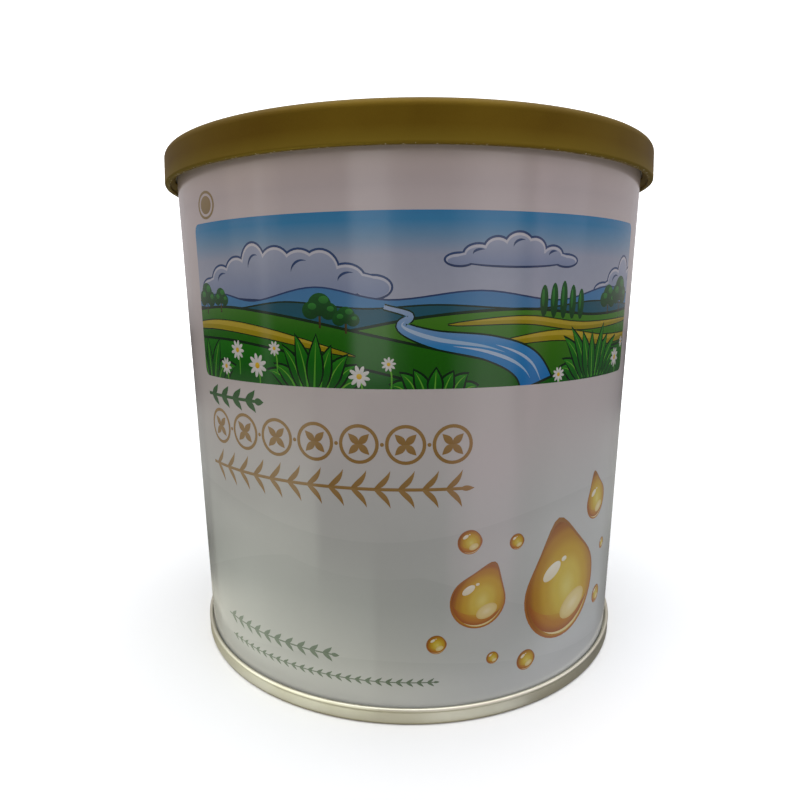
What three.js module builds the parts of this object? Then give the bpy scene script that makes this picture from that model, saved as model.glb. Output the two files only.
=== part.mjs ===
// Milk powder tin: a small round tinplate can with a printed wall, a double-seamed bottom end and a push-on
// plastic overcap. It is shut, so the can is solid inside. It stands on z = 0 with its axis on Z, and the
// middle of its printed front faces -Y. Lengths are in millimetres.
import * as THREE from "three";

// Driving sizes of the can.
const BODY_DIAMETER = 73.0;
const TIN_HEIGHT = 77.2; // over both double seams
const SEAM_OVERHANG = 0.75; // how far a double seam stands out from the wall
const SEAM_HEIGHT = 2.5;
const SEAM_THICKNESS = 1.3; // from the seam's outside to the chuck wall inside it
const SEAM_ROUND = 0.45; // radius of the seam's long corners
const TOP_RECESS = 1.5; // how far the hidden top panel lies below the top seam
const HUB_INSET = 0.35; // from the wall's outside to the bottom end's hub inside it

// Driving sizes of the bottom end's panel, as heights above the table under the tin.
const GROOVE_HEIGHT = 3.2; // roof of the countersink groove inside the seam
const GROOVE_WIDTH = 1.5;
const PANEL_HEIGHT = 2.2; // underside of the outer panel
const PANEL_SLOPE = 0.7; // radial width of each step's slope
const BEAD_DIAMETERS = [58.0, 42.0]; // outer edges of the two stepped expansion panels
const BEAD_STEP = 0.4;
const END_TOP = 4.1; // hidden upper face of the bottom end

// Driving sizes of the overcap.
const CAP_TOP = 78.1;
const CAP_SKIRT_FOOT = 73.3;
const CAP_DIAMETER = 76.5; // at the foot of the skirt
const CAP_DRAFT = 0.2; // how much smaller the skirt's radius is under the rounded top edge
const CAP_WALL = 0.75;
const CAP_EDGE_ROUND = 1.2;
const CAP_FOOT_ROUND = 0.3;
const CAP_RIM_WIDTH = 2.9; // from the skirt's outside to the inner edge of the raised rim
const CAP_RECESS = 1.2; // depth of the recessed panel below the rim
const CAP_RECESS_SLOPE = 0.6;
const SNAP_HEIGHT = 0.5; // how far the snap bead stands in from the skirt
const SNAP_CENTRE = 74.15;
const SNAP_HALF = 0.45; // half the bead's height
const RING_DIAMETER = 50.0; // low stiffening ring on the panel
const RING_WIDTH = 1.6;
const RING_RISE = 0.3;
const GATE_DIAMETER = 7.0; // shallow dish round the moulding gate
const GATE_DEPTH = 0.25;

const CLEARANCE = 0.05; // between pieces that sit in each other
const CAP_CLEARANCE = 0.1; // between the overcap's underside and the top seam
const PLUG_CLEARANCE = 0.3; // between the overcap's plug and the inside of the top seam
const SEGMENTS = 96;

// Radii that several pieces share.
const wallRadius = BODY_DIAMETER / 2;
const seamRadius = wallRadius + SEAM_OVERHANG;
const chuckRadius = seamRadius - SEAM_THICKNESS;
const seatRadius = wallRadius - HUB_INSET;

/** Points of an arc in the profile, from angle `from` to angle `to` in degrees, ends included. */
function arc(centreRadius, centreHeight, radius, from, to, steps) {
  return Array.from({ length: steps + 1 }, (_, i) => {
    const angle = THREE.MathUtils.degToRad(from + ((to - from) * i) / steps);
    return [centreRadius + radius * Math.cos(angle), centreHeight + radius * Math.sin(angle)];
  });
}

/** A solid of revolution about Z. The profile runs anticlockwise as [radius, height] pairs. */
function turned(name, profile, material) {
  const points = profile.map(([radius, height]) => new THREE.Vector2(radius, height));
  const geometry = new THREE.LatheGeometry(points, SEGMENTS);
  geometry.rotateX(Math.PI / 2);
  const mesh = new THREE.Mesh(geometry, material);
  mesh.name = name;
  return mesh;
}

/** The can's body: the printed wall up to the top seam, with the hidden recess inside that seam. */
function tinBody() {
  const seamFoot = TIN_HEIGHT - SEAM_HEIGHT;
  const outerCentre = seamRadius - SEAM_ROUND;
  const recess = TIN_HEIGHT - TOP_RECESS;
  return [
    [0, END_TOP + CLEARANCE],
    [seatRadius + CLEARANCE, END_TOP + CLEARANCE],
    [seatRadius + CLEARANCE, SEAM_HEIGHT + CLEARANCE],
    [wallRadius, SEAM_HEIGHT + CLEARANCE],
    [wallRadius, seamFoot],
    ...arc(outerCentre, seamFoot + SEAM_ROUND, SEAM_ROUND, -60, 0, 2),
    ...arc(outerCentre, TIN_HEIGHT - SEAM_ROUND, SEAM_ROUND, 0, 90, 3),
    [chuckRadius, TIN_HEIGHT],
    [chuckRadius, recess],
    [0, recess],
  ];
}

/** The bottom end: its double seam, the groove inside it and the stepped panel, with a hub inside the wall. */
function bottomEnd() {
  const outerCentre = seamRadius - SEAM_ROUND;
  const innerCentre = chuckRadius + SEAM_ROUND;
  const grooveInner = chuckRadius - GROOVE_WIDTH;
  const steps = [...BEAD_DIAMETERS].reverse().flatMap((diameter, i) => {
    const level = PANEL_HEIGHT + (BEAD_DIAMETERS.length - i) * BEAD_STEP;
    return [
      [diameter / 2 - PANEL_SLOPE, level],
      [diameter / 2, level - BEAD_STEP],
    ];
  });
  const centreLevel = PANEL_HEIGHT + BEAD_DIAMETERS.length * BEAD_STEP;
  return [
    [0, centreLevel],
    ...steps,
    [grooveInner - PANEL_SLOPE, PANEL_HEIGHT],
    [grooveInner, GROOVE_HEIGHT],
    [chuckRadius, GROOVE_HEIGHT],
    ...arc(innerCentre, SEAM_ROUND, SEAM_ROUND, 180, 270, 3),
    ...arc(outerCentre, SEAM_ROUND, SEAM_ROUND, 270, 360, 3),
    ...arc(outerCentre, SEAM_HEIGHT - SEAM_ROUND, SEAM_ROUND, 0, 60, 2),
    [wallRadius, SEAM_HEIGHT],
    [seatRadius, SEAM_HEIGHT],
    [seatRadius, END_TOP],
    [0, END_TOP],
  ];
}

/** The overcap: skirt with its snap bead, rounded edge, raised rim, and recessed panel with a low ring. */
function overcap() {
  const footRadius = CAP_DIAMETER / 2;
  const edgeRadius = footRadius - CAP_DRAFT;
  const skirtInside = footRadius - CAP_WALL;
  const rimInner = edgeRadius - CAP_RIM_WIDTH;
  const panelEdge = rimInner - CAP_RECESS_SLOPE;
  const panelTop = CAP_TOP - CAP_RECESS;
  const panelUnder = panelTop - CAP_WALL;
  const rimUnder = TIN_HEIGHT + CAP_CLEARANCE;
  const plugRadius = chuckRadius - PLUG_CLEARANCE;
  const ringOuter = (RING_DIAMETER + RING_WIDTH) / 2;
  const ringInner = (RING_DIAMETER - RING_WIDTH) / 2;
  const ringSlope = RING_WIDTH / 4;
  const gateRadius = GATE_DIAMETER / 2;
  return [
    [0, panelUnder],
    [plugRadius - CAP_RECESS_SLOPE, panelUnder],
    [plugRadius, panelUnder + CAP_RECESS_SLOPE],
    [plugRadius, rimUnder],
    [skirtInside, rimUnder],
    [skirtInside, SNAP_CENTRE + SNAP_HALF],
    [skirtInside - SNAP_HEIGHT, SNAP_CENTRE],
    [skirtInside, SNAP_CENTRE - SNAP_HALF],
    [skirtInside, CAP_SKIRT_FOOT],
    ...arc(footRadius - CAP_FOOT_ROUND, CAP_SKIRT_FOOT + CAP_FOOT_ROUND, CAP_FOOT_ROUND, 270, 360, 2),
    ...arc(edgeRadius - CAP_EDGE_ROUND, CAP_TOP - CAP_EDGE_ROUND, CAP_EDGE_ROUND, 0, 90, 6),
    [rimInner, CAP_TOP],
    [panelEdge, panelTop],
    [ringOuter, panelTop],
    [ringOuter - ringSlope, panelTop + RING_RISE],
    [ringInner + ringSlope, panelTop + RING_RISE],
    [ringInner, panelTop],
    [gateRadius, panelTop],
    [gateRadius - GATE_DEPTH, panelTop - GATE_DEPTH],
    [0, panelTop - GATE_DEPTH],
  ];
}

const printedTinplate = new THREE.MeshStandardMaterial({ color: 0xd6d8d4, roughness: 0.3, metalness: 0.1 });
const bareTinplate = new THREE.MeshStandardMaterial({ color: 0xb4b3a4, roughness: 0.3, metalness: 1.0 });
const goldPlastic = new THREE.MeshStandardMaterial({ color: 0x7c6426, roughness: 0.42, metalness: 0.35 });

const tin = new THREE.Group();
tin.add(turned("tin_body", tinBody(), printedTinplate));
tin.add(turned("bottom_end", bottomEnd(), bareTinplate));
tin.add(turned("overcap", overcap(), goldPlastic));

export default tin;
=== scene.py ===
"""Looks of a small milk powder tin: printed wall, tinplate bottom end and gold plastic overcap.

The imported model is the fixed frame. Each class makes one sub-assembly as a fine mesh in that frame and
dresses it. Lengths in the classes are millimetres, and MM turns them into the metres that Blender works in.
The wall's artwork is drawn flat, as shapes of ink on the unrolled sheet, and then rolled round the tin:
u runs along the sheet from the middle of the front, and v is the height above the table.
"""

from __future__ import annotations

import logging
import math
import random
from collections.abc import Callable, Mapping, Sequence
from dataclasses import dataclass
from enum import Enum
from itertools import product
from typing import Any

import bpy
from mathutils import Matrix, Vector
from mathutils.geometry import delaunay_2d_cdt

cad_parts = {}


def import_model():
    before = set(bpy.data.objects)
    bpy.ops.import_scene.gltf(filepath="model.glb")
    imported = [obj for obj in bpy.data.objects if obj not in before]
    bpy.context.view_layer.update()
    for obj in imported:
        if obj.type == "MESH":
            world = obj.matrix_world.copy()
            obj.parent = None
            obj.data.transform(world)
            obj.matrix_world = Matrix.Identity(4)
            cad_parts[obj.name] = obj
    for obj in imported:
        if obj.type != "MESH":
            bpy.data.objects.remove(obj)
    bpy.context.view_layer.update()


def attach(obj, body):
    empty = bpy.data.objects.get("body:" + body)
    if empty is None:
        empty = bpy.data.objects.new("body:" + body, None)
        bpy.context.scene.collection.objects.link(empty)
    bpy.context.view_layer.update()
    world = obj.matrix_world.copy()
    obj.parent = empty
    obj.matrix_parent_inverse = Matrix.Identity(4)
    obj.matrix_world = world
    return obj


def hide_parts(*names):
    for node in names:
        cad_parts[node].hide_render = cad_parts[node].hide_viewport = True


MM = 0.001
BODY = "root"
INK_FIELD = "ink_field"
BAKE_MAP = "OFBake"

Point = tuple[float, float]
Outline = list[Point]
Vec3 = tuple[float, float, float]

log = logging.getLogger("milk_powder_tin")


def linear(code: str) -> tuple[float, float, float, float]:
    """Turns an sRGB colour into the linear one that shaders take.

    Args:
        code: the colour as "#rrggbb".

    Returns:
        Linear red, green, blue and an alpha of 1.
    """
    parts = [int(code[i : i + 2], 16) / 255 for i in (1, 3, 5)]
    red, green, blue = (c / 12.92 if c <= 0.04045 else ((c + 0.055) / 1.055) ** 2.4 for c in parts)
    return red, green, blue, 1.0


def node(
    tree: bpy.types.NodeTree,
    kind: str,
    inputs: Mapping[str | int, Any] | None = None,
    **settings: Any,
) -> bpy.types.Node:
    """Adds a shader node with its settings and links.

    Args:
        tree: the material's or world's node tree.
        kind: the node's type, without its ShaderNode prefix.
        inputs: for each socket's name or number, its value or the output socket that feeds it.
        settings: the node's own properties.

    Returns:
        The new node.
    """
    made = tree.nodes.new(f"ShaderNode{kind}")
    for name, value in settings.items():
        setattr(made, name, value)
    for socket, value in (inputs or {}).items():
        if isinstance(value, bpy.types.NodeSocket):
            tree.links.new(value, made.inputs[socket])
        else:
            made.inputs[socket].default_value = value
    return made


def set_stops(ramp: bpy.types.Node, stops: Sequence[tuple[float, str]]) -> None:
    """Puts colour stops on a colour ramp.

    Args:
        ramp: the ramp's node.
        stops: each stop's place from 0 to 1, and its sRGB colour.
    """
    elements = ramp.color_ramp.elements
    while len(elements) < len(stops):
        elements.new(1.0)
    for element, (place, code) in zip(elements, stops):
        element.position = place
        element.color = linear(code)


def blank_material(name: str) -> bpy.types.Material:
    """Makes a material whose node tree is empty.

    Args:
        name: the material's name.

    Returns:
        The new material.
    """
    material = bpy.data.materials.new(name)
    material.use_nodes = True
    material.node_tree.nodes.clear()
    return material


# Finishes


@dataclass(frozen=True)
class LithoInk:
    """Offset litho ink on white-coated tinplate under gloss varnish.

    The stove-dried varnish gives the print a hard clear gloss with a slight orange peel, which softens
    the edges of what it mirrors. The ink itself is very slightly mottled.
    """

    stops: tuple[tuple[float, str], ...]
    radial: bool = False
    shade: float = 0.0
    mottle: float = 0.03
    mottle_size: float = 0.9
    peel_size: float = 2.2
    peel_depth: float = 0.0016
    ink_roughness: float = 0.6
    ink_ior: float = 1.5
    varnish_roughness: float = 0.13
    varnish_ior: float = 1.44

    def make(self, name: str) -> bpy.types.Material:
        """Builds the ink's material.

        Args:
            name: the material's name.

        Returns:
            The material, with its colour spread along each shape's own field.
        """
        material = blank_material(name)
        tree = material.node_tree
        field = node(tree, "Attribute", attribute_name=INK_FIELD).outputs["Vector"]
        split = node(tree, "SeparateXYZ", {"Vector": field})
        if self.radial:
            along = node(tree, "VectorMath", {0: field}, operation="LENGTH").outputs["Value"]
        else:
            along = split.outputs["Y"]
        ramp = node(tree, "ValToRGB", {"Fac": along})
        ramp.color_ramp.interpolation = "EASE" if self.radial else "LINEAR"
        set_stops(ramp, self.stops)
        where = node(tree, "TexCoord").outputs["Object"]
        grain = node(tree, "TexNoise", {"Vector": where, "Scale": 1 / (self.mottle_size * MM), "Detail": 4.0})
        spread = node(
            tree,
            "MapRange",
            {"Value": grain.outputs["Fac"], "To Min": 1 - self.mottle, "To Max": 1 + self.mottle},
        )
        falloff = {"Value": split.outputs["X"], "To Min": 1.0, "To Max": 1 - self.shade}
        shaded = node(tree, "MapRange", falloff)
        tones = {0: spread.outputs["Result"], 1: shaded.outputs["Result"]}
        value = node(tree, "Math", tones, operation="MULTIPLY").outputs["Value"]
        colour = node(tree, "HueSaturation", {"Color": ramp.outputs["Color"], "Value": value})
        peel = node(tree, "TexNoise", {"Vector": where, "Scale": 1 / (self.peel_size * MM), "Detail": 1.0})
        relief = node(tree, "Bump", {"Height": peel.outputs["Fac"], "Distance": self.peel_depth * MM})
        shader = node(
            tree,
            "BsdfPrincipled",
            {
                "Base Color": colour.outputs["Color"],
                "Roughness": self.ink_roughness,
                "IOR": self.ink_ior,
                "Specular IOR Level": 0.0,
                "Coat Weight": 1.0,
                "Coat Roughness": self.varnish_roughness,
                "Coat IOR": self.varnish_ior,
                "Normal": relief.outputs["Normal"],
                "Coat Normal": relief.outputs["Normal"],
            },
        )
        node(tree, "OutputMaterial", {"Surface": shader.outputs["BSDF"]})
        return material


@dataclass(frozen=True)
class Tinplate:
    """Bright electrolytic tinplate: steel with a flow-melted tin coat, cold rolled and seamed.

    It gives soft, slightly yellowish mirror light, drawn out round the tin by the rolling lines.
    """

    colour: str = "#dcd8c6"
    tarnish: str = "#d3ceb9"
    line_spacing: float = 0.12
    line_depth: float = 0.003
    cloud_size: float = 9.0
    roughness: float = 0.43
    roughness_spread: float = 0.05

    def make(self, name: str) -> bpy.types.Material:
        """Builds the bare metal.

        Args:
            name: the material's name.

        Returns:
            The material, with its rolling lines drawn round the tin's axis.
        """
        material = blank_material(name)
        tree = material.node_tree
        where = node(tree, "TexCoord").outputs["Object"]
        split = node(tree, "SeparateXYZ", {"Vector": where})
        flat = node(tree, "VectorMath", {0: where, 1: (1.0, 1.0, 0.0)}, operation="MULTIPLY")
        radius = node(tree, "VectorMath", {0: flat.outputs["Vector"]}, operation="LENGTH")
        turned = node(tree, "CombineXYZ", {"X": radius.outputs["Value"], "Z": split.outputs["Z"]})
        lines = node(
            tree,
            "TexNoise",
            {"Vector": turned.outputs["Vector"], "Scale": 1 / (self.line_spacing * MM), "Detail": 2.0},
        )
        cloud = node(tree, "TexNoise", {"Vector": where, "Scale": 1 / (self.cloud_size * MM), "Detail": 5.0})
        ramp = node(tree, "ValToRGB", {"Fac": cloud.outputs["Fac"]})
        set_stops(ramp, ((0.35, self.tarnish), (0.6, self.colour)))
        rough = node(
            tree,
            "MapRange",
            {
                "Value": cloud.outputs["Fac"],
                "To Min": self.roughness + self.roughness_spread,
                "To Max": self.roughness - self.roughness_spread,
            },
        )
        relief = node(tree, "Bump", {"Height": lines.outputs["Fac"], "Distance": self.line_depth * MM})
        shader = node(
            tree,
            "BsdfPrincipled",
            {
                "Base Color": ramp.outputs["Color"],
                "Metallic": 1.0,
                "Roughness": rough.outputs["Result"],
                "Normal": relief.outputs["Normal"],
            },
        )
        node(tree, "OutputMaterial", {"Surface": shader.outputs["BSDF"]})
        return material


@dataclass(frozen=True)
class SeamLacquer:
    """Clear lacquer stripe rolled over the welded side seam, on bare steel.

    It gives a dull grey, faintly golden stripe where the print stops short of the weld.
    """

    colour: str = "#8d8876"
    blue: str = "#6f7073"
    streak: float = 0.5
    drawn_out: float = 0.06
    metallic: float = 0.85
    steel_roughness: float = 0.34
    lacquer_weight: float = 0.7
    lacquer_roughness: float = 0.2

    def make(self, name: str) -> bpy.types.Material:
        """Builds the stripe's material.

        Args:
            name: the material's name.

        Returns:
            The material, streaked along the weld.
        """
        material = blank_material(name)
        tree = material.node_tree
        where = node(tree, "TexCoord").outputs["Object"]
        stretch = (1.0, 1.0, self.drawn_out)
        drawn = node(tree, "VectorMath", {0: where, 1: stretch}, operation="MULTIPLY")
        streaks = node(
            tree,
            "TexNoise",
            {"Vector": drawn.outputs["Vector"], "Scale": 1 / (self.streak * MM), "Detail": 3.0},
        )
        ramp = node(tree, "ValToRGB", {"Fac": streaks.outputs["Fac"]})
        set_stops(ramp, ((0.4, self.blue), (0.62, self.colour)))
        shader = node(
            tree,
            "BsdfPrincipled",
            {
                "Base Color": ramp.outputs["Color"],
                "Metallic": self.metallic,
                "Roughness": self.steel_roughness,
                "Coat Weight": self.lacquer_weight,
                "Coat Roughness": self.lacquer_roughness,
            },
        )
        node(tree, "OutputMaterial", {"Surface": shader.outputs["BSDF"]})
        return material


@dataclass(frozen=True)
class GoldPolyethylene:
    """Low-density polyethylene with gold metallic pigment, injection moulded.

    It gives a waxy satin with a soft metal glow, fine flake sparkle, faint flow marks from the gate and pale
    scuffs at the foot of the skirt, where the cap is pushed on and off. A paler tone painted in a band up
    from the skirt's foot, and faintly down from its top edge, is painted light from below and from above.
    """

    dark: str = "#624b0e"
    light: str = "#6f5815"
    painted_light_tone: str = "#7f6c24"
    scuff: str = "#c9bf9d"
    flake_size: float = 0.16
    flow_size: float = 11.0
    scuff_size: float = 0.5
    foot: float = 73.3
    # Heights of the painted light: a paler band up from the skirt's foot, and a faint one down from the top
    # edge.
    foot_light_from: float = 75.3
    edge_light_from: float = 76.3
    top: float = 78.1
    scuff_top: float = 73.9
    texture_depth: float = 0.0015
    flake_share: float = 0.2
    foot_light_share: float = 0.75
    edge_light_share: float = 0.12
    scuff_rise: float = 0.5
    scuff_level: float = 1.11
    scuff_full: float = 1.16
    metallic: float = 0.62
    roughness: float = 0.58
    ior: float = 1.51
    gloss: float = 0.06

    def make(self, name: str) -> bpy.types.Material:
        """Builds the plastic.

        Args:
            name: the material's name.

        Returns:
            The material.
        """
        material = blank_material(name)
        tree = material.node_tree
        where = node(tree, "TexCoord").outputs["Object"]
        height = node(tree, "SeparateXYZ", {"Vector": where}).outputs["Z"]
        flow = node(tree, "TexNoise", {"Vector": where, "Scale": 1 / (self.flow_size * MM), "Detail": 3.0})
        flake = node(tree, "TexNoise", {"Vector": where, "Scale": 1 / (self.flake_size * MM), "Detail": 1.0})
        grains = {"Factor": self.flake_share, "A": flow.outputs["Fac"], "B": flake.outputs["Fac"]}
        mixed = node(tree, "Mix", grains, data_type="FLOAT")
        ramp = node(tree, "ValToRGB", {"Fac": mixed.outputs["Result"]})
        set_stops(ramp, ((0.36, self.dark), (0.64, self.light)))
        # The first two ramps are painted light, paler at the foot and at the top edge; the third raises the
        # scuffs near the foot.
        light_and_scuff_ramps = []
        for clear, full, most in (
            (self.foot_light_from, self.foot, self.foot_light_share),
            (self.edge_light_from, self.top, self.edge_light_share),
            (self.scuff_top, self.foot, self.scuff_rise),
        ):
            span = {"Value": height, "From Min": clear * MM, "From Max": full * MM, "To Max": most}
            light_and_scuff_ramps.append(node(tree, "MapRange", span).outputs["Result"])
        edges = node(tree, "Math", {0: light_and_scuff_ramps[0], 1: light_and_scuff_ramps[1]}, operation="ADD")
        painted_light_mix = {"Factor": edges.outputs["Value"], "A": ramp.outputs["Color"], "B": linear(self.painted_light_tone)}
        painted_light_colour = node(tree, "Mix", painted_light_mix, data_type="RGBA")
        specks = node(tree, "TexNoise", {"Vector": where, "Scale": 1 / (self.scuff_size * MM), "Detail": 2.0})
        scuffs = node(tree, "Math", {0: specks.outputs["Fac"], 1: light_and_scuff_ramps[2]}, operation="ADD")
        levels = {"Value": scuffs.outputs["Value"], "From Min": self.scuff_level, "From Max": self.scuff_full}
        worn = node(tree, "MapRange", levels)
        wear = {"Factor": worn.outputs["Result"], "A": painted_light_colour.outputs["Result"], "B": linear(self.scuff)}
        colour = node(tree, "Mix", wear, data_type="RGBA")
        relief = node(tree, "Bump", {"Height": flake.outputs["Fac"], "Distance": self.texture_depth * MM})
        shader = node(
            tree,
            "BsdfPrincipled",
            {
                "Base Color": colour.outputs["Result"],
                "Metallic": self.metallic,
                "Roughness": self.roughness,
                "IOR": self.ior,
                "Specular IOR Level": self.gloss,
                "Normal": relief.outputs["Normal"],
            },
        )
        node(tree, "OutputMaterial", {"Surface": shader.outputs["BSDF"]})
        return material


@dataclass(frozen=True)
class StudioPaper:
    """Matt background paper, which shows soft shadows and almost no gloss.

    Its stops give its colour at distances from its centre. Lit from behind, it turns pure white away
    from the tin.
    """

    stops: tuple[tuple[float, str], ...] = ((0.0, "#fbfbfa"), (1000.0, "#fdfdfd"))
    centre: Vec3 = (0.0, 0.0, 0.0)
    backlight: float = 0.0
    backlit_from: float = 60.0
    backlit_full: float = 400.0
    fibre: float = 1.5
    fibre_depth: float = 0.01
    roughness: float = 0.9
    gloss: float = 0.1

    def make(self, name: str) -> bpy.types.Material:
        """Builds the paper.

        Args:
            name: the material's name.

        Returns:
            The material.
        """
        material = blank_material(name)
        tree = material.node_tree
        where = node(tree, "TexCoord").outputs["Object"]
        centre = [c * MM for c in self.centre]
        out = node(tree, "VectorMath", {0: where, 1: centre}, operation="DISTANCE").outputs["Value"]
        reach = self.stops[-1][0]
        share = node(tree, "MapRange", {"Value": out, "From Max": reach * MM})
        graded = node(tree, "ValToRGB", {"Fac": share.outputs["Result"]})
        graded.color_ramp.interpolation = "EASE"
        set_stops(graded, [(place / reach, code) for place, code in self.stops])
        fibres = node(tree, "TexNoise", {"Vector": where, "Scale": 1 / (self.fibre * MM), "Detail": 3.0})
        relief = node(tree, "Bump", {"Height": fibres.outputs["Fac"], "Distance": self.fibre_depth * MM})
        span = {"From Min": self.backlit_from * MM, "From Max": self.backlit_full * MM}
        glow = {"Value": out, **span, "To Max": self.backlight}
        lit = node(tree, "MapRange", glow, interpolation_type="SMOOTHSTEP")
        shader = node(
            tree,
            "BsdfPrincipled",
            {
                "Base Color": graded.outputs["Color"],
                "Roughness": self.roughness,
                "Specular IOR Level": self.gloss,
                "Emission Color": linear("#ffffff"),
                "Emission Strength": lit.outputs["Result"],
                "Normal": relief.outputs["Normal"],
            },
        )
        node(tree, "OutputMaterial", {"Surface": shader.outputs["BSDF"]})
        return material


# The coating's white from the sheet's foot to its top: lighter at the foot, greyer low down and pinker
# upwards.
# Part of this run is painted light: the lift at the foot stands in for light from the table, and the steep
# lift just under the overcap paints light into the shade that the overcap casts.
WHITE_AND_PAINTED_LIGHT_STOPS = (
    (0.0, "#c2c5c1"),
    (0.1, "#b8bbb5"),
    (0.22, "#b0b3ad"),
    (0.4, "#b7b7b3"),
    (0.56, "#c0b8b5"),
    (0.93, "#c9bcba"),
    (0.965, "#dfd0cb"),
    (1.0, "#f2e3dc"),
)


class Ink(Enum):
    """What can show on the wall: the inks of the print, and the lacquered weld."""

    # The white, and the waves on it, carry the painted light of these stops, at the foot and just under the
    # overcap.
    ENAMEL = LithoInk(WHITE_AND_PAINTED_LIGHT_STOPS, mottle=0.012)
    WAVE = LithoInk(WHITE_AND_PAINTED_LIGHT_STOPS, mottle=0.012, shade=0.05)
    SKY = LithoInk(
        ((0.42, "#a7a9b6"), (0.76, "#999eaf"), (0.86, "#6b8fad"), (0.95, "#2f80ae"), (1.0, "#2a7dae"))
    )
    CLOUD_EDGE = LithoInk(((0.0, "#1d3055"), (1.0, "#25406c")))
    CLOUD_RIM = LithoInk(((0.0, "#a9adbd"), (1.0, "#c8c4c9")))
    CLOUD = LithoInk(((0.0, "#7c88a6"), (0.45, "#8f97ad"), (1.0, "#a2a7ba")))
    FAR_RIDGE = LithoInk(((0.0, "#5f8fb4"), (1.0, "#3f76a4")))
    NEAR_RIDGE = LithoInk(((0.0, "#256a86"), (1.0, "#174f5e")))
    RIVER = LithoInk(((0.0, "#0668a8"), (0.6, "#3480b8"), (1.0, "#93a5c0")))
    GLINT = LithoInk(((0.0, "#8fb0cc"), (1.0, "#b4c0d2")))
    HILL_FAR = LithoInk(((0.0, "#226004"), (1.0, "#437a14")))
    HILL_MID = LithoInk(((0.0, "#145602"), (0.7, "#206504"), (1.0, "#3c7510")))
    HILL_NEAR = LithoInk(((0.0, "#064a02"), (0.6, "#0c5e03"), (1.0, "#1e700a")))
    CREST = LithoInk(((0.0, "#052205"), (1.0, "#082808")))
    OCHRE = LithoInk(((0.0, "#8f8008"), (1.0, "#a08e0c")))
    OCHRE_LIGHT = LithoInk(((0.0, "#ac962a"), (1.0, "#b7a030")))
    TREE = LithoInk(((0.0, "#053a0c"), (1.0, "#0b5412")))
    TREE_LIGHT = LithoInk(((0.0, "#1c621c"), (1.0, "#2f7d2a")))
    TRUNK = LithoInk(((0.0, "#3a2f10"), (1.0, "#544418")))
    BLADE_EDGE = LithoInk(((0.0, "#021c04"), (1.0, "#042807")))
    BLADE = LithoInk(((0.0, "#064706"), (0.6, "#106409"), (1.0, "#2a7c16")))
    BLADE_RIB = LithoInk(((0.0, "#3f8f22"), (1.0, "#74ac36")))
    PETAL = LithoInk(((0.0, "#c4c2bd"), (1.0, "#d6d3cd")))
    POLLEN = LithoInk(((0.0, "#c79a16"), (1.0, "#dcb838")))
    GOLD = LithoInk(((0.0, "#8b6831"), (1.0, "#947340")))
    GREEN = LithoInk(((0.0, "#234f1e"), (1.0, "#2c5c27")))
    GREY_GREEN = LithoInk(((0.0, "#5a6b54"), (1.0, "#63745d")))
    BADGE = LithoInk(((0.0, "#8a7348"), (1.0, "#9c8457")))
    OIL_EDGE = LithoInk(((0.0, "#9c5c10"), (1.0, "#8a5a1c")))
    OIL = LithoInk(
        (
            (0.0, "#cbbc5c"),
            (0.3, "#c2a934"),
            (0.55, "#b79214"),
            (0.78, "#a67508"),
            (0.92, "#905608"),
            (1.0, "#7e4206"),
        ),
        radial=True,
    )
    OIL_DEEP = LithoInk(((0.5, "#b79214"), (0.75, "#aa700a"), (1.0, "#904a08")), radial=True)
    OIL_GLOW = LithoInk(((0.0, "#d8cb98"), (0.7, "#cfbd7e"), (1.0, "#c6ae66")), radial=True)
    OIL_SHINE = LithoInk(((0.0, "#d0c8aa"), (1.0, "#dad4c0")))
    WELD = SeamLacquer()


# Drawing on the flat sheet


def set_down(x: float, y: float, centre: Point, turn: float) -> Point:
    """Turns a point about a centre and sets it down on the sheet.

    Args:
        x: how far right of the centre the point is before the turn.
        y: how far above the centre it is before the turn.
        centre: the centre's place on the sheet.
        turn: the turn in degrees, anticlockwise.

    Returns:
        The point's place on the sheet.
    """
    angle = math.radians(turn)
    return (
        centre[0] + x * math.cos(angle) - y * math.sin(angle),
        centre[1] + x * math.sin(angle) + y * math.cos(angle),
    )


def round_points(
    centre: Point,
    radii: Point,
    turn: float = 0.0,
    start: float = 0.0,
    end: float = 360.0,
    steps: int = 24,
) -> Outline:
    """Points round an ellipse or a stretch of one.

    Args:
        centre: the middle of the ellipse.
        radii: half its width and half its height.
        turn: how far it is turned, in degrees.
        start: the first point's angle in degrees.
        end: the angle just after the last point.
        steps: how many points there are.

    Returns:
        The points.
    """
    points: Outline = []
    for i in range(steps):
        angle = math.radians(start + (end - start) * i / steps)
        points.append(set_down(radii[0] * math.cos(angle), radii[1] * math.sin(angle), centre, turn))
    return points


def rectangle(low: Point, high: Point) -> Outline:
    """A rectangle between its lower left and its upper right corner."""
    return [low, (high[0], low[1]), high, (low[0], high[1])]


def rounded_box(low: Point, high: Point, corner: float, steps: int = 6) -> Outline:
    """A rectangle with round corners.

    Args:
        low: its lower left corner.
        high: its upper right corner.
        corner: the corners' radius.
        steps: points on each corner.

    Returns:
        The outline, anticlockwise.
    """
    corners = (
        ((high[0] - corner, high[1] - corner), 0.0),
        ((low[0] + corner, high[1] - corner), 90.0),
        ((low[0] + corner, low[1] + corner), 180.0),
        ((high[0] - corner, low[1] + corner), 270.0),
    )
    reach = 90.0 * steps / (steps - 1)
    outline: Outline = []
    for centre, angle in corners:
        outline += round_points(centre, (corner, corner), start=angle, end=angle + reach, steps=steps)
    return outline


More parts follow.
